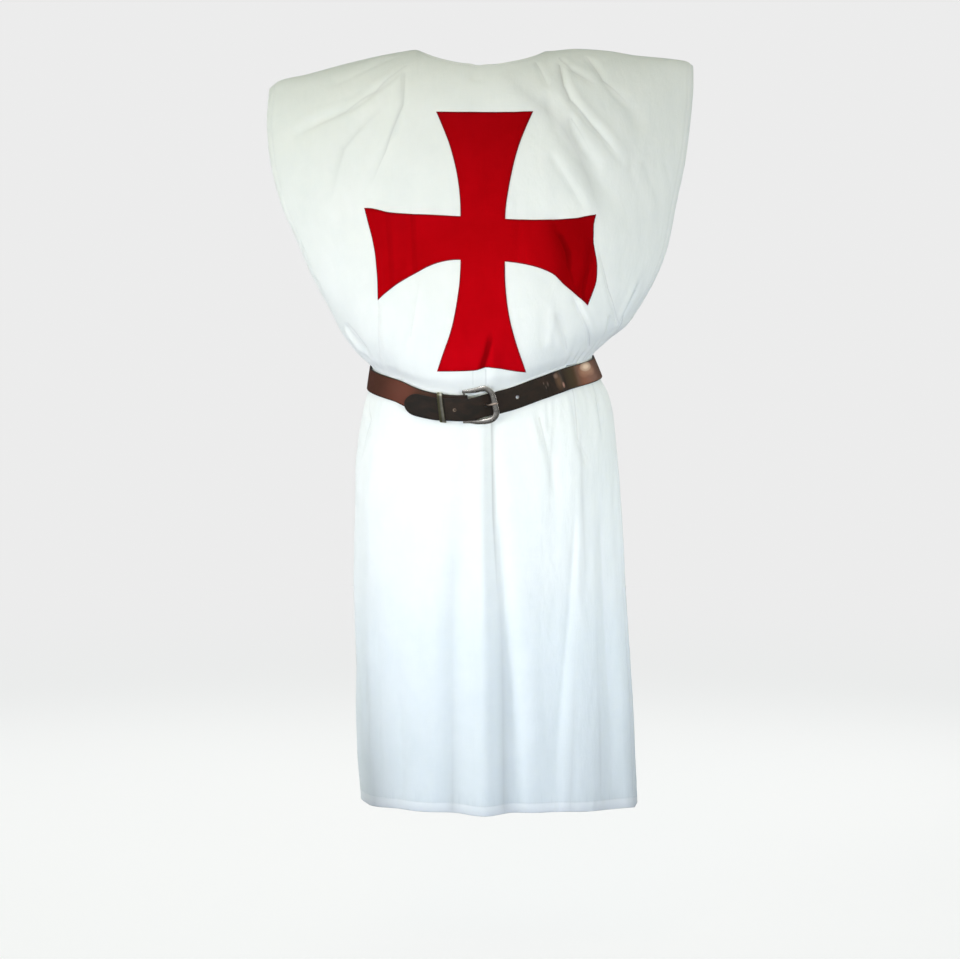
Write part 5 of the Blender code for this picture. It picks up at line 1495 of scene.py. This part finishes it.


# painted shade in the front's folds and towards its lower side edges: reach to the left and right, (across, down,
# strength)
WHITE_FOLD_SHADE = (
    (0.0034, 0.0070, ((-0.120, 0.080, 0.07), (-0.165, 0.115, 0.18), (-0.212, 0.133, 0.13), (-0.300, 0.135, 0.0))),
    (0.0064, 0.0032, ((-0.120, 0.096, 0.07), (-0.122, 0.150, 0.18), (-0.150, 0.217, 0.18), (-0.176, 0.262, 0.0))),
    (0.0120, 0.0080, ((-0.160, 0.150, 0.04), (-0.216, 0.190, 0.12), (-0.246, 0.262, 0.0))),
    (0.0054, 0.0030, ((0.084, 0.076, 0.20), (0.103, 0.130, 0.04))),
    (0.0074, 0.0032, ((0.121, 0.080, 0.27), (0.127, 0.120, 0.30), (0.137, 0.142, 0.27), (0.175, 0.176, 0.24), (0.230, 0.216, 0.0))),
    (0.0030, 0.0070, ((0.121, 0.064, 0.19), (0.140, 0.093, 0.22), (0.178, 0.112, 0.04))),
    (0.0060, 0.0030, ((0.165, 0.056, 0.11), (0.190, 0.100, 0.23), (0.242, 0.131, 0.0))),
    (0.0060, 0.0030, ((0.140, 0.172, 0.15), (0.187, 0.235, 0.0))),
    (0.0320, 0.0340, ((0.040, 0.118, 0.07), (0.074, 0.150, 0.13), (0.109, 0.171, 0.17), (0.130, 0.194, 0.23), (0.155, 0.228, 0.21),
                      (0.174, 0.264, 0.16), (0.200, 0.310, 0.05))),
    (0.0060, 0.0040, ((0.112, 0.240, 0.02), (0.140, 0.275, 0.09), (0.168, 0.308, 0.02))),
    (0.0030, 0.0038, ((0.193, 0.350, 0.04), (0.228, 0.405, 0.24), (0.292, 0.468, 0.09))),
    (0.0036, 0.0044, ((0.301, 0.370, 0.22), (0.294, 0.420, 0.38), (0.312, 0.472, 0.14))),
    (0.0034, 0.0030, ((0.152, 0.445, 0.04), (0.227, 0.532, 0.20))),
    (0.0030, 0.0060, ((0.127, 0.482, 0.03), (0.152, 0.537, 0.12))),
    (0.0028, 0.0080, ((0.014, 0.600, 0.36), (0.017, 0.800, 0.30), (0.026, 0.950, 0.05))),
    (0.0150, 0.0300, ((0.020, 0.800, 0.01), (0.026, 0.900, 0.08), (0.031, 0.991, 0.18), (0.033, 1.085, 0.24), (0.034, 1.255, 0.22))),
    (0.0320, 0.0280, ((-0.046, 0.840, 0.01), (-0.047, 0.961, 0.06), (-0.047, 1.055, 0.09), (-0.047, 1.149, 0.16), (-0.047, 1.260, 0.23))),
    (0.0030, 0.0046, ((0.093, 0.652, 0.20), (0.127, 0.755, 0.0))),
    (0.0030, 0.0046, ((0.182, 0.620, 0.20), (0.187, 0.695, 0.17), (0.228, 0.738, 0.0))),
    (0.0030, 0.0046, ((0.261, 0.628, 0.15), (0.274, 0.704, 0.0))),
    (0.0320, 0.0320, ((0.196, 0.840, 0.03), (0.179, 0.966, 0.07), (0.172, 1.091, 0.12), (0.162, 1.258, 0.17))),
    (0.0240, 0.0260, ((0.236, 0.960, 0.03), (0.239, 1.094, 0.11), (0.240, 1.187, 0.20), (0.238, 1.260, 0.18))),
    (0.1500, 0.2000, ((0.225, 0.900, 0.0), (0.228, 1.060, 0.05), (0.232, 1.155, 0.10), (0.236, 1.260, 0.16))),
    (0.0500, 0.1500, ((0.335, 0.900, 0.03), (0.335, 1.100, 0.18), (0.335, 1.260, 0.36))),
    (0.0110, 0.0130, ((0.124, 0.630, 0.04), (0.120, 0.700, 0.12), (0.115, 0.763, 0.07), (0.112, 0.850, 0.0))),
    (0.0130, 0.0150, ((0.188, 0.630, 0.05), (0.198, 0.720, 0.13), (0.201, 0.787, 0.14), (0.206, 0.876, 0.08), (0.200, 0.960, 0.0))),
    (0.0020, 0.0020, ((-0.014, 0.572, 0.16), (-0.014, 0.594, 0.14))),
    (0.0024, 0.0020, ((0.006, 0.572, 0.30), (0.006, 0.594, 0.20))),
    (0.0600, 0.0600, ((0.104, 0.430, 0.03), (0.121, 0.490, 0.10), (0.118, 0.540, 0.06))),
    (0.1300, 0.1700, ((0.230, 0.190, 0.04), (0.260, 0.290, 0.07), (0.250, 0.420, 0.03), (0.240, 0.520, 0.0))),
    (0.0040, 0.0030, ((-0.302, 0.650, 0.04), (-0.264, 0.674, 0.18), (-0.286, 0.748, 0.0))),
    (0.0036, 0.0060, ((-0.284, 0.456, 0.12), (-0.243, 0.520, 0.22))),
    (0.0030, 0.0060, ((-0.184, 0.442, 0.08), (-0.190, 0.480, 0.10), (-0.206, 0.552, 0.06))),
    (0.0070, 0.0050, ((-0.100, 0.435, 0.04), (-0.119, 0.514, 0.10))),
    (0.2500, 0.1300, ((-0.228, 0.700, 0.01), (-0.228, 0.880, 0.07), (-0.226, 1.060, 0.17), (-0.224, 1.155, 0.27), (-0.222, 1.262, 0.42))),
)
# painted shade of the cross's folds: the dark wedge at its foot, the dark facet of the right arm and faint lines over
# the left arm; columns as for the white
RED_FOLD_SHADE = (
    (0.0100, 0.0080, ((0.014, 0.518, 0.10), (0.011, 0.531, 0.48), (0.007, 0.546, 0.58), (0.002, 0.562, 0.60), (-0.002, 0.580, 0.58))),
    (0.0060, 0.0400, ((0.019, 0.500, 0.0), (0.020, 0.540, 0.12), (0.021, 0.580, 0.16))),
    (0.0090, 0.0190, ((0.108, 0.338, 0.10), (0.127, 0.356, 0.50), (0.139, 0.374, 0.58), (0.142, 0.396, 0.52))),
    (0.0055, 0.0080, ((0.142, 0.396, 0.48), (0.151, 0.415, 0.46), (0.163, 0.444, 0.40))),
    (0.0060, 0.0140, ((0.183, 0.368, 0.25), (0.176, 0.395, 0.50), (0.173, 0.430, 0.54), (0.176, 0.456, 0.44))),
    (0.1050, 0.0600, ((0.162, 0.305, 0.34), (0.168, 0.460, 0.38))),
    (0.0120, 0.0120, ((-0.150, 0.305, 0.16), (-0.150, 0.435, 0.20))),
    (0.0100, 0.0100, ((-0.108, 0.315, 0.16), (-0.106, 0.420, 0.14))),
    (0.0600, 0.0800, ((-0.150, 0.300, 0.09), (-0.150, 0.440, 0.10))),
)


def vectors(nodes, wires, operation, *values):
    made = nodes.new("ShaderNodeVectorMath")
    made.operation = operation
    for k, value in enumerate(values):
        if hasattr(value, "is_output"):
            wires.new(value, made.inputs[k])
        else:
            made.inputs[k].default_value = value
    return made.outputs["Value" if operation in ("DOT_PRODUCT", "LENGTH") else "Vector"]


def painted_fold_shade(nodes, wires, uv, lines, shade_gain):
    """Painted fold shade: how deep a crossing lies in one of the sharp folds, 0 to 1."""
    total = None
    for left, right, points in lines:
        for (x0, y0, s0), (x1, y1, s1) in zip(points[:-1], points[1:]):
            dx, dy = x1 - x0, y1 - y0
            square = dx * dx + dy * dy
            run = math.sqrt(square)
            v = vectors(nodes, wires, "SUBTRACT", uv, (x0, y0, 0.0))
            t = clamped(nodes, wires, vectors(nodes, wires, "DOT_PRODUCT", v, (dx / square, dy / square, 0.0)))
            reached = nodes.new("ShaderNodeVectorMath")
            reached.operation = "SCALE"
            reached.inputs[0].default_value = (dx, dy, 0.0)
            wires.new(t, reached.inputs["Scale"])
            off = vectors(nodes, wires, "SUBTRACT", v, reached.outputs["Vector"])
            far = vectors(nodes, wires, "LENGTH", off)
            if left == right:
                close = maths(nodes, wires, "MULTIPLY_ADD", far, -shade_gain / left, shade_gain)
            else:
                hand = maths(nodes, wires, "GREATER_THAN",
                             vectors(nodes, wires, "DOT_PRODUCT", v, (dy / run, -dx / run, 0.0)), 0.0)
                slope = maths(nodes, wires, "MULTIPLY_ADD", hand, shade_gain / left - shade_gain / right, -shade_gain / left)
                close = maths(nodes, wires, "MULTIPLY_ADD", far, slope, shade_gain)
            close = clamped(nodes, wires, close)
            strength = maths(nodes, wires, "MULTIPLY_ADD", t, s1 - s0, s0)
            deep = maths(nodes, wires, "MULTIPLY", maths(nodes, wires, "MULTIPLY", close, close), strength)
            total = deep if total is None else maths(nodes, wires, "MAXIMUM", total, deep)
    return total


def cotton(name, colour, dark, specular, sheen, seed, lines=(), light_tints=(), hem=False, shade_gain=1.0):
    material, shader = new_material(name, colour, 0.88)
    nodes, wires = links(material)
    uv = node(nodes, "ShaderNodeUVMap", uv_map="UVMap").outputs["UV"]
    height, yarn, split = weave_height(nodes, wires, uv, 0.00085)
    soft = noise(nodes, wires, scaled(nodes, wires, uv, (1, 1, 1), (seed, seed * 0.7, 0)), 9.0, 3.0, 0.6)
    patch = noise(nodes, wires, scaled(nodes, wires, uv, (1, 0.6, 1), (seed * 1.3, 2.0, 0)), 34.0, 4.0, 0.6)
    tone = maths(nodes, wires, "MULTIPLY_ADD", soft, 0.65, maths(nodes, wires, "MULTIPLY", patch, 0.35))
    tone = maths(nodes, wires, "MULTIPLY_ADD", maths(nodes, wires, "SUBTRACT", yarn, 1.0), 0.22, tone)
    shade = ramp(nodes, wires, tone, ((0.30, dark), (0.62, colour)))
    # painted light and shade: a tint that changes down the cut
    if light_tints:
        shade = mix(nodes, wires, 1.0, shade, ramp(nodes, wires, split.outputs[1], light_tints), "MULTIPLY")
    if hem:
        # painted shade along the seam of the turned-in hem and in the small puckers drawn in along it
        up = maths(nodes, wires, "ABSOLUTE", maths(nodes, wires, "SUBTRACT", split.outputs[1], CUT_LENGTH - HEM_WIDTH))
        seam = clamped(nodes, wires, maths(nodes, wires, "MULTIPLY_ADD", up, -1 / 0.0022, 1.0))
        band = clamped(nodes, wires, maths(nodes, wires, "MULTIPLY_ADD", up, -1 / 0.020, 1.0))
        drawn = ramp(nodes, wires, noise(nodes, wires, scaled(nodes, wires, uv, (190, 14, 1)), 1.0, 2.0, 0.5),
                     ((0.52, 0.0), (0.72, 1.0)))
        pucker_shade = maths(nodes, wires, "MULTIPLY", band, drawn)
        dim = maths(nodes, wires, "MULTIPLY_ADD", pucker_shade, 0.09, maths(nodes, wires, "MULTIPLY", seam, 0.08))
        shade = mix(nodes, wires, dim, shade, (0.30, 0.34, 0.40))
        # two layers of cloth below the seam: more opaque, so lighter
        below = clamped(nodes, wires, maths(nodes, wires, "MULTIPLY_ADD", split.outputs[1], 1 / 0.002,
                                            (HEM_WIDTH - CUT_LENGTH) / 0.002))
        shade = mix(nodes, wires, maths(nodes, wires, "MULTIPLY", below, 0.65), shade, (0.96, 0.975, 0.985))
    # painted shade: the fold lines darken the cloth's colour
    if lines:
        shade = mix(nodes, wires, painted_fold_shade(nodes, wires, uv, lines, shade_gain), shade, tuple(c * 0.12 for c in dark))
    wires.new(shade, shader.inputs["Base Color"])
    rough = maths(nodes, wires, "MULTIPLY_ADD", patch, 0.10, 0.82)
    wires.new(rough, shader.inputs["Roughness"])
    shader.inputs["Specular IOR Level"].default_value = specular
    if sheen:
        shader.inputs["Sheen Weight"].default_value = sheen
        shader.inputs["Sheen Roughness"].default_value = 0.5
    creases = noise(nodes, wires, scaled(nodes, wires, uv, (1.0, 0.55, 1), (seed, 0, 0)), 46.0, 5.0, 0.62, 0.4)
    low = bump(nodes, wires, creases, 0.55, 0.0016)
    wires.new(bump(nodes, wires, height, 0.45, 0.00022, low), shader.inputs["Normal"])
    return material


# painted highlights, glints and shade, and real wear, on the strap: run along the strap, side, half length, half
# height, strength, tint
WEAR_AND_PAINTED_LIGHT_SPOTS = (
    # lighter band over the bend: worn leather with a painted highlight
    (AROUND - 0.1275, 0.0012, 0.0072, 0.0175, 0.85, (0.120, 0.066, 0.036)),
    # painted highlights on the bend
    (AROUND - 0.1332, -0.0068, 0.0028, 0.0058, 0.90, (0.440, 0.225, 0.165)),
    (AROUND - 0.1245, 0.0108, 0.0042, 0.0052, 0.65, (0.260, 0.165, 0.120)),
    # painted shade: a dark line beside the bend
    (AROUND - 0.1382, -0.0010, 0.0014, 0.0150, 0.80, (0.016, 0.010, 0.007)),
    # painted glints on the wrinkles left of the bend
    (AROUND - 0.1080, 0.0030, 0.0018, 0.0050, 0.55, (0.170, 0.120, 0.095)),
    (AROUND - 0.1020, 0.0060, 0.0012, 0.0030, 0.55, (0.200, 0.140, 0.110)),
    (AROUND - 0.1040, -0.0010, 0.0010, 0.0036, 0.50, (0.170, 0.120, 0.100)),
    # painted highlight at the right end of the strap
    (AROUND - 0.1800, 0.0040, 0.0150, 0.0110, 0.50, (0.420, 0.210, 0.115)),
    (AROUND - 0.1960, 0.0030, 0.0160, 0.0100, 0.50, (0.450, 0.230, 0.130)),
    (AROUND - 0.1880, 0.0105, 0.0170, 0.0085, 0.84, (0.800, 0.600, 0.420)),
    # raw leather inside two of the holes
    (AROUND - 0.0560, 0.0000, 0.0034, 0.0034, 0.90, (0.460, 0.330, 0.240)),
    (AROUND + 0.0400, 0.0000, 0.0032, 0.0032, 0.80, (0.360, 0.260, 0.190)),
)


def leather(name):
    material, shader = new_material(name, (0.05, 0.03, 0.022), 0.42)
    nodes, wires = links(material)
    uv = node(nodes, "ShaderNodeUVMap", uv_map="UVMap").outputs["UV"]
    split = nodes.new("ShaderNodeSeparateXYZ")
    wires.new(uv, split.inputs[0])
    total = AROUND + 0.13
    place = maths(nodes, wires, "DIVIDE", split.outputs[0], total)
    spot = lambda run: run / total
    # colour along the strap: dark by the buckle and the tail, redder on the left; the bright red stretch at the right
    # end is part of the painted highlight there
    body = ramp(nodes, wires, place, (
        (spot(0.04), (0.019, 0.012, 0.009)), (spot(0.095), (0.050, 0.020, 0.011)),
        (spot(0.125), (0.118, 0.030, 0.016)), (spot(0.185), (0.066, 0.024, 0.015)),
        (spot(AROUND * 0.5), (0.055, 0.026, 0.017)), (spot(AROUND - 0.235), (0.110, 0.048, 0.028)),
        (spot(AROUND - 0.178), (0.210, 0.070, 0.031)), (spot(AROUND - 0.152), (0.050, 0.034, 0.015)),
        (spot(AROUND - 0.132), (0.020, 0.015, 0.011)), (spot(AROUND + 0.10), (0.013, 0.011, 0.009))), "EASE")
    blotch = noise(nodes, wires, scaled(nodes, wires, uv, (1, 1.6, 1)), 38.0, 5.0, 0.62, 0.6)
    worn = ramp(nodes, wires, blotch, ((0.42, 0.0), (0.78, 1.0)))
    colour = mix(nodes, wires, maths(nodes, wires, "MULTIPLY", worn, 0.22), body, (0.10, 0.040, 0.022))
    # painted dark edges
    away = maths(nodes, wires, "ABSOLUTE", split.outputs[1])
    paint = ramp(nodes, wires, maths(nodes, wires, "MULTIPLY", away, 50.0),
                 ((0.0, 0.0), (0.785, 0.0), (0.825, 0.9), (1.0, 1.0)))
    colour = mix(nodes, wires, paint, colour, (0.016, 0.011, 0.009))
    pores = nodes.new("ShaderNodeTexVoronoi")
    wires.new(scaled(nodes, wires, uv, (1, 1, 1)), pores.inputs["Vector"])
    pores.inputs["Scale"].default_value = 950.0
    pores.inputs["Randomness"].default_value = 1.0
    grain = noise(nodes, wires, uv, 420.0, 4.0, 0.6, 0.3)
    scratch = noise(nodes, wires, scaled(nodes, wires, uv, (60, 900, 1)), 1.0, 2.0, 0.5)
    scratches = ramp(nodes, wires, scratch, ((0.66, 0.0), (0.74, 1.0)))
    colour = mix(nodes, wires, maths(nodes, wires, "MULTIPLY", scratches, 0.05), colour, (0.16, 0.09, 0.06))
    # painted highlights and glints on the bend and at the right end, painted shade beside the bend, wear where the
    # strap has been bent, and raw leather inside the holes
    def wear_and_light_spot(base, run, side, long_, high_, strength, tint):
        du = maths(nodes, wires, "DIVIDE", maths(nodes, wires, "SUBTRACT", split.outputs[0], run), long_)
        dv = maths(nodes, wires, "DIVIDE", maths(nodes, wires, "SUBTRACT", split.outputs[1], side), high_)
        far = maths(nodes, wires, "ADD", maths(nodes, wires, "MULTIPLY", du, du),
                    maths(nodes, wires, "MULTIPLY", dv, dv))
        near = ramp(nodes, wires, far, ((0.0, strength), (0.40, 0.50 * strength), (1.0, 0.0)), "EASE")
        return mix(nodes, wires, near, base, tint)
    for spot_values in WEAR_AND_PAINTED_LIGHT_SPOTS:
        colour = wear_and_light_spot(colour, *spot_values)
    wires.new(colour, shader.inputs["Base Color"])
    rough = maths(nodes, wires, "MULTIPLY_ADD", blotch, -0.14, 0.50)
    rough = maths(nodes, wires, "MULTIPLY_ADD", grain, 0.10, rough)
    wires.new(rough, shader.inputs["Roughness"])
    shader.inputs["Specular IOR Level"].default_value = 0.30
    wave = noise(nodes, wires, scaled(nodes, wires, uv, (1, 2.2, 1)), 52.0, 3.0, 0.5)
    low = bump(nodes, wires, wave, 0.5, 0.0010)
    middle = bump(nodes, wires, pores.outputs["Distance"], 0.30, 0.00022, low)
    wires.new(bump(nodes, wires, grain, 0.35, 0.00025, middle), shader.inputs["Normal"])
    return material


def metal(name, bright, dull, rough_low, rough_high, scale=260.0):
    material, shader = new_material(name, bright, rough_low, 1.0)
    nodes, wires = links(material)
    place = nodes.new("ShaderNodeTexCoord").outputs["Object"]
    cloud = noise(nodes, wires, place, scale, 5.0, 0.6, 0.5)
    wires.new(ramp(nodes, wires, cloud, ((0.30, dull), (0.70, bright))), shader.inputs["Base Color"])
    fine = noise(nodes, wires, place, scale * 6, 3.0, 0.5)
    rough = maths(nodes, wires, "MULTIPLY_ADD", cloud, rough_low - rough_high, rough_high)
    rough = maths(nodes, wires, "MULTIPLY_ADD", fine, 0.05, rough)
    wires.new(rough, shader.inputs["Roughness"])
    low = bump(nodes, wires, cloud, 0.12, 0.00012)
    wires.new(bump(nodes, wires, fine, 0.06, 0.00003, low), shader.inputs["Normal"])
    return material


def banded_metal(name, left, right, rough_low, rough_high):
    """Metal darker on the left part of the band and again at its right edge."""
    material = metal(name, right, tuple(0.6 * c for c in right), rough_low, rough_high, 150.0)
    nodes, wires = links(material)
    shader = nodes["Principled BSDF"]
    before = shader.inputs["Base Color"].links[0].from_socket
    uv = node(nodes, "ShaderNodeUVMap", uv_map="UVMap").outputs["UV"]
    split = nodes.new("ShaderNodeSeparateXYZ")
    wires.new(uv, split.inputs[0])
    place = maths(nodes, wires, "MULTIPLY_ADD", split.outputs[0], 0.5, 0.5)
    share = ramp(nodes, wires, place, ((0.0, 0.9), (0.40, 0.85), (0.56, 0.15), (0.80, 0.0), (0.96, 0.7)), "EASE")
    wires.new(mix(nodes, wires, share, before, left), shader.inputs["Base Color"])
    return material


def thread(name, colour):
    material, shader = new_material(name, colour, 0.7)
    nodes, wires = links(material)
    place = nodes.new("ShaderNodeTexCoord").outputs["Object"]
    twist = noise(nodes, wires, place, 2600.0, 2.0, 0.5)
    dim = tuple(c * 0.82 for c in colour)
    wires.new(ramp(nodes, wires, twist, ((0.35, dim), (0.6, colour))), shader.inputs["Base Color"])
    wires.new(bump(nodes, wires, twist, 0.4, 0.0001), shader.inputs["Normal"])
    return material


def dress(obj, material):
    obj.data.materials.clear()
    obj.data.materials.append(material)
    for face in obj.data.polygons:
        face.material_index = 0


# painted light: the white is yellower at the top and bluer at the bottom, the red darker at the top and brighter lower
# down, as the light fell
WHITE_PAINTED_LIGHT_TINTS = ((0.10, (1.0, 1.0, 0.965)), (0.35, (1.0, 1.0, 0.99)), (0.62, (1.0, 1.0, 1.0)),
               (0.92, (0.985, 1.0, 1.03)), (1.0, (0.965, 1.0, 1.045)))
RED_PAINTED_LIGHT_TINTS = ((0.18, (0.78, 1.0, 0.9)), (0.30, (0.94, 1.0, 1.0)), (0.42, (1.0, 1.0, 1.0)),
             (0.56, (1.08, 1.0, 1.3)))
white = cotton("white_cotton", (0.885, 0.900, 0.878), (0.835, 0.858, 0.838), 0.25, 0.12, 3.0,
               WHITE_FOLD_SHADE, WHITE_PAINTED_LIGHT_TINTS, True)
white_back = cotton("white_cotton_back", (0.885, 0.900, 0.878), (0.835, 0.858, 0.838), 0.25, 0.12, 3.0,
                    (), WHITE_PAINTED_LIGHT_TINTS, True)
red = cotton("red_cotton", (0.500, 0.0012, 0.0046), (0.418, 0.0008, 0.0031), 0.0, 0.0, 8.0,
             RED_FOLD_SHADE, RED_PAINTED_LIGHT_TINTS, shade_gain=1.5)
brown = leather("brown_leather")
steel = metal("polished_steel", (0.72, 0.71, 0.69), (0.50, 0.47, 0.42), 0.18, 0.28, 150.0)
warm_steel = metal("prong_steel", (0.80, 0.66, 0.58), (0.62, 0.50, 0.42), 0.26, 0.36, 150.0)
aged = banded_metal("aged_metal", (0.150, 0.142, 0.070), (0.62, 0.61, 0.52), 0.22, 0.34)
aged_node = metal("aged_metal_plain", (0.62, 0.61, 0.52), (0.150, 0.142, 0.070), 0.22, 0.34, 150.0)
white_thread = thread("white_thread", (0.84, 0.86, 0.85))
red_thread = thread("red_thread", (0.100, 0.003, 0.014))
for obj, material in ((front_cloth, white), (back_cloth, white_back), (cross_cloth, red), (belt, brown),
                      (bow, steel), (prong, warm_steel), (keeper, aged), (front_thread, white_thread),
                      (back_thread, white_thread), (cross_thread, red_thread)):
    dress(obj, material)
finish_of = {"front_panel": white_back, "back_panel": white_back, "cross_applique": red, "belt_strap": brown,
             "buckle_frame": steel, "buckle_prong": warm_steel, "belt_keeper": aged_node}
for name, material in finish_of.items():
    dress(frame["nodes"][name], material)

# ================================================================ the frame
for piece, node_name, slot_name in (
        (front_cloth, "front_panel", "white_cotton"), (back_cloth, "back_panel", "white_cotton"),
        (cross_cloth, "cross_applique", "red_cotton"), (belt, "belt_strap", "brown_leather"),
        (bow, "buckle_frame", "polished_steel"), (prong, "buckle_prong", "polished_steel"),
        (keeper, "belt_keeper", "aged_metal")):
    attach(piece, "root")
    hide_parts(node_name)
for piece, slot_name in ((front_thread, "white_cotton"), (back_thread, "white_cotton"),
                         (cross_thread, "red_cotton")):
    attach(piece, "root")

# ================================================================ the studio
FLOOR = -1.47
PALE = 0.84


def floor_disc():
    """A pale floor, lit near the garment and fading into the tone of the dome."""
    rings, around, verts, faces = 24, 64, [(0.0, 0.0, FLOOR)], []
    for i in range(1, rings + 1):
        r = 11.0 * (i / rings) ** 2
        verts += [(r * math.cos(2 * math.pi * k / around), r * math.sin(2 * math.pi * k / around), FLOOR)
                  for k in range(around)]
    faces += [(0, 1 + k, 1 + (k + 1) % around) for k in range(around)]
    for i in range(rings - 1):
        for k in range(around):
            a, b = 1 + i * around + k, 1 + i * around + (k + 1) % around
            faces.append((a, a + around, b + around, b))
    obj = make_mesh("studio_floor", verts, faces)
    material, shader = new_material("studio_floor", (0.80, 0.80, 0.80), 0.9)
    shader.inputs["Specular IOR Level"].default_value = 0.0
    nodes, wires = links(material)
    place = nodes.new("ShaderNodeTexCoord").outputs["Object"]
    length = nodes.new("ShaderNodeVectorMath")
    length.operation = "LENGTH"
    wires.new(scaled(nodes, wires, place, (1, 1, 0)), length.inputs[0])
    away = maths(nodes, wires, "DIVIDE", length.outputs["Value"], 11.0)
    wires.new(ramp(nodes, wires, away, ((0.10, 0.34), (0.42, 0.0)), "EASE"), shader.inputs["Base Color"])
    wires.new(ramp(nodes, wires, away, ((0.10, PALE - 0.17), (0.42, PALE)), "EASE"),
              shader.inputs["Emission Color"])
    shader.inputs["Emission Strength"].default_value = 1.0
    dress(obj, material)
    return obj


def dome(name, radius, shade_stops, toward=None):
    """A plain glowing dome all round the studio."""
    rows, cols, verts, faces = 24, 48, [], []
    for i in range(rows + 1):
        lat = math.pi * (i / rows - 0.5)
        verts += [(radius * math.cos(lat) * math.cos(2 * math.pi * k / cols),
                   radius * math.cos(lat) * math.sin(2 * math.pi * k / cols), radius * math.sin(lat))
                  for k in range(cols)]
    faces = grid_faces(rows + 1, cols, closed=True, flip=True)
    obj = make_mesh(name, verts, faces)
    material, shader = new_material(name, (0.0, 0.0, 0.0), 1.0)
    shader.inputs["Specular IOR Level"].default_value = 0.0
    shader.inputs["Emission Strength"].default_value = 1.0
    if toward is None:
        shader.inputs["Emission Color"].default_value = (shade_stops, shade_stops, shade_stops, 1)
    else:
        nodes, wires = links(material)
        place = nodes.new("ShaderNodeTexCoord").outputs["Object"]
        dot = nodes.new("ShaderNodeVectorMath")
        dot.operation = "DOT_PRODUCT"
        wires.new(place, dot.inputs[0])
        dot.inputs[1].default_value = Vector(toward).normalized() / radius
        facing = maths(nodes, wires, "MULTIPLY_ADD", dot.outputs["Value"], 0.5, 0.5)
        wires.new(ramp(nodes, wires, facing, shade_stops, "EASE"), shader.inputs["Emission Color"])
    dress(obj, material)
    return obj


def only_for(obj, camera=False, glossy=False):
    """The studio shell is seen, or mirrored, but the lamps and sky do the lighting."""
    obj.visible_camera = camera
    obj.visible_glossy = glossy
    obj.visible_diffuse = False
    obj.visible_transmission = False
    obj.visible_shadow = False


def lamp(name, place, aim, size, power, colour, spread=180, glossy=False):
    data = bpy.data.lights.new(name, "AREA")
    data.spread = math.radians(spread)
    data.shape = "RECTANGLE"
    data.size, data.size_y = size
    data.energy = power
    data.color = colour
    obj = bpy.data.objects.new(name, data)
    bpy.context.scene.collection.objects.link(obj)
    obj.location = place
    obj.rotation_euler = (Vector(aim) - Vector(place)).to_track_quat("-Z", "Y").to_euler()
    obj.visible_glossy = glossy
    obj.visible_diffuse = not glossy
    return obj


for spare in [o for o in bpy.data.objects if o.name in ("Cube", "Light", "Camera")]:
    bpy.data.objects.remove(spare)
studio_floor = floor_disc()
studio_dome = dome("studio_dome", 12.0, PALE)
mirror_dome = dome("studio_mirror_dome", 11.8, (
    (0.0, 0.04), (0.50, 0.07), (0.72, 0.16), (0.85, 0.32), (0.93, 0.55), (0.975, 0.95), (1.0, 1.3)),
    toward=(-0.20, -0.75, 0.65))
only_for(studio_floor, camera=True)
only_for(studio_dome, camera=True)
only_for(mirror_dome, glossy=True)
lamp("top", (-0.5, -2.3, 1.2), (0.0, -0.1, -0.10), (1.0, 0.7), 2.9, (1.0, 0.60, 0.34), 110)
lamp("left", (-2.2, -1.7, -0.45), (0.0, -0.1, -0.45), (0.9, 1.3), 6.7, (0.84, 0.98, 0.81), 120)
lamp("waist_right", (1.6, -2.3, -0.62), (0.10, -0.1, -0.64), (0.6, 0.4), 2.15, (0.95, 1.0, 0.97), 46)
lamp("hip_left", (-2.2, -1.2, -0.70), (-0.10, -0.1, -0.66), (0.5, 0.4), 1.7, (0.94, 0.92, 1.0), 46)
lamp("front", (0.0, -2.9, -0.45), (0.0, -0.1, -0.60), (0.7, 0.6), 0.28, (1.0, 0.96, 0.45), 40)
lamp("skirt", (0.0, -2.8, -1.15), (0.0, -0.1, -0.92), (0.7, 0.4), 1.45, (0.26, 0.42, 1.0), 60)
lamp("rim", (2.15, 0.55, 0.14), (0.16, -0.06, -0.50), (0.7, 0.9), 11.0, (1.0, 0.97, 0.92), 180, glossy=True)
lamp("strip", (-0.35, -2.0, 1.45), (0.0, -0.1, -0.55), (1.1, 0.30), 8.5, (1.0, 1.0, 1.0), 180, glossy=True)
lamp("back_right", (1.6, 2.4, 0.2), (0.0, 0.1, -0.55), (1.4, 1.4), 13.0, (1.0, 0.96, 0.96), 120)
lamp("back_left", (-1.8, 2.3, 0.0), (0.0, 0.1, -0.60), (1.2, 1.4), 9.0, (1.0, 0.96, 0.96), 120)

world = bpy.data.worlds.new("studio")
bpy.context.scene.world = world
world.use_nodes = True
nodes, wires = world.node_tree.nodes, world.node_tree.links
sky = nodes["Background"]
direction = nodes.new("ShaderNodeTexCoord").outputs["Generated"]
split = nodes.new("ShaderNodeSeparateXYZ")
wires.new(direction, split.inputs[0])
rise = maths(nodes, wires, "MULTIPLY_ADD", split.outputs[2], 0.5, 0.5)
shade = ramp(nodes, wires, rise, ((0.0, (0.262, 0.268, 0.316)), (1.0, (0.442, 0.512, 0.472))))
wires.new(shade, sky.inputs["Color"])
sky.inputs["Strength"].default_value = 1.0

camera_data = bpy.data.cameras.new("camera")
camera_data.sensor_width = 36.0
camera_data.lens = 81.53
camera_data.clip_end = 50.0
camera = bpy.data.objects.new("camera", camera_data)
bpy.context.scene.collection.objects.link(camera)
camera.location = (-0.003, -3.5, -0.39)
camera.rotation_euler = (math.radians(90 - 4.779), 0.0, 0.0)
bpy.context.scene.camera = camera
bpy.context.scene.view_settings.view_transform = "Standard"
bpy.context.scene.view_settings.look = "None"
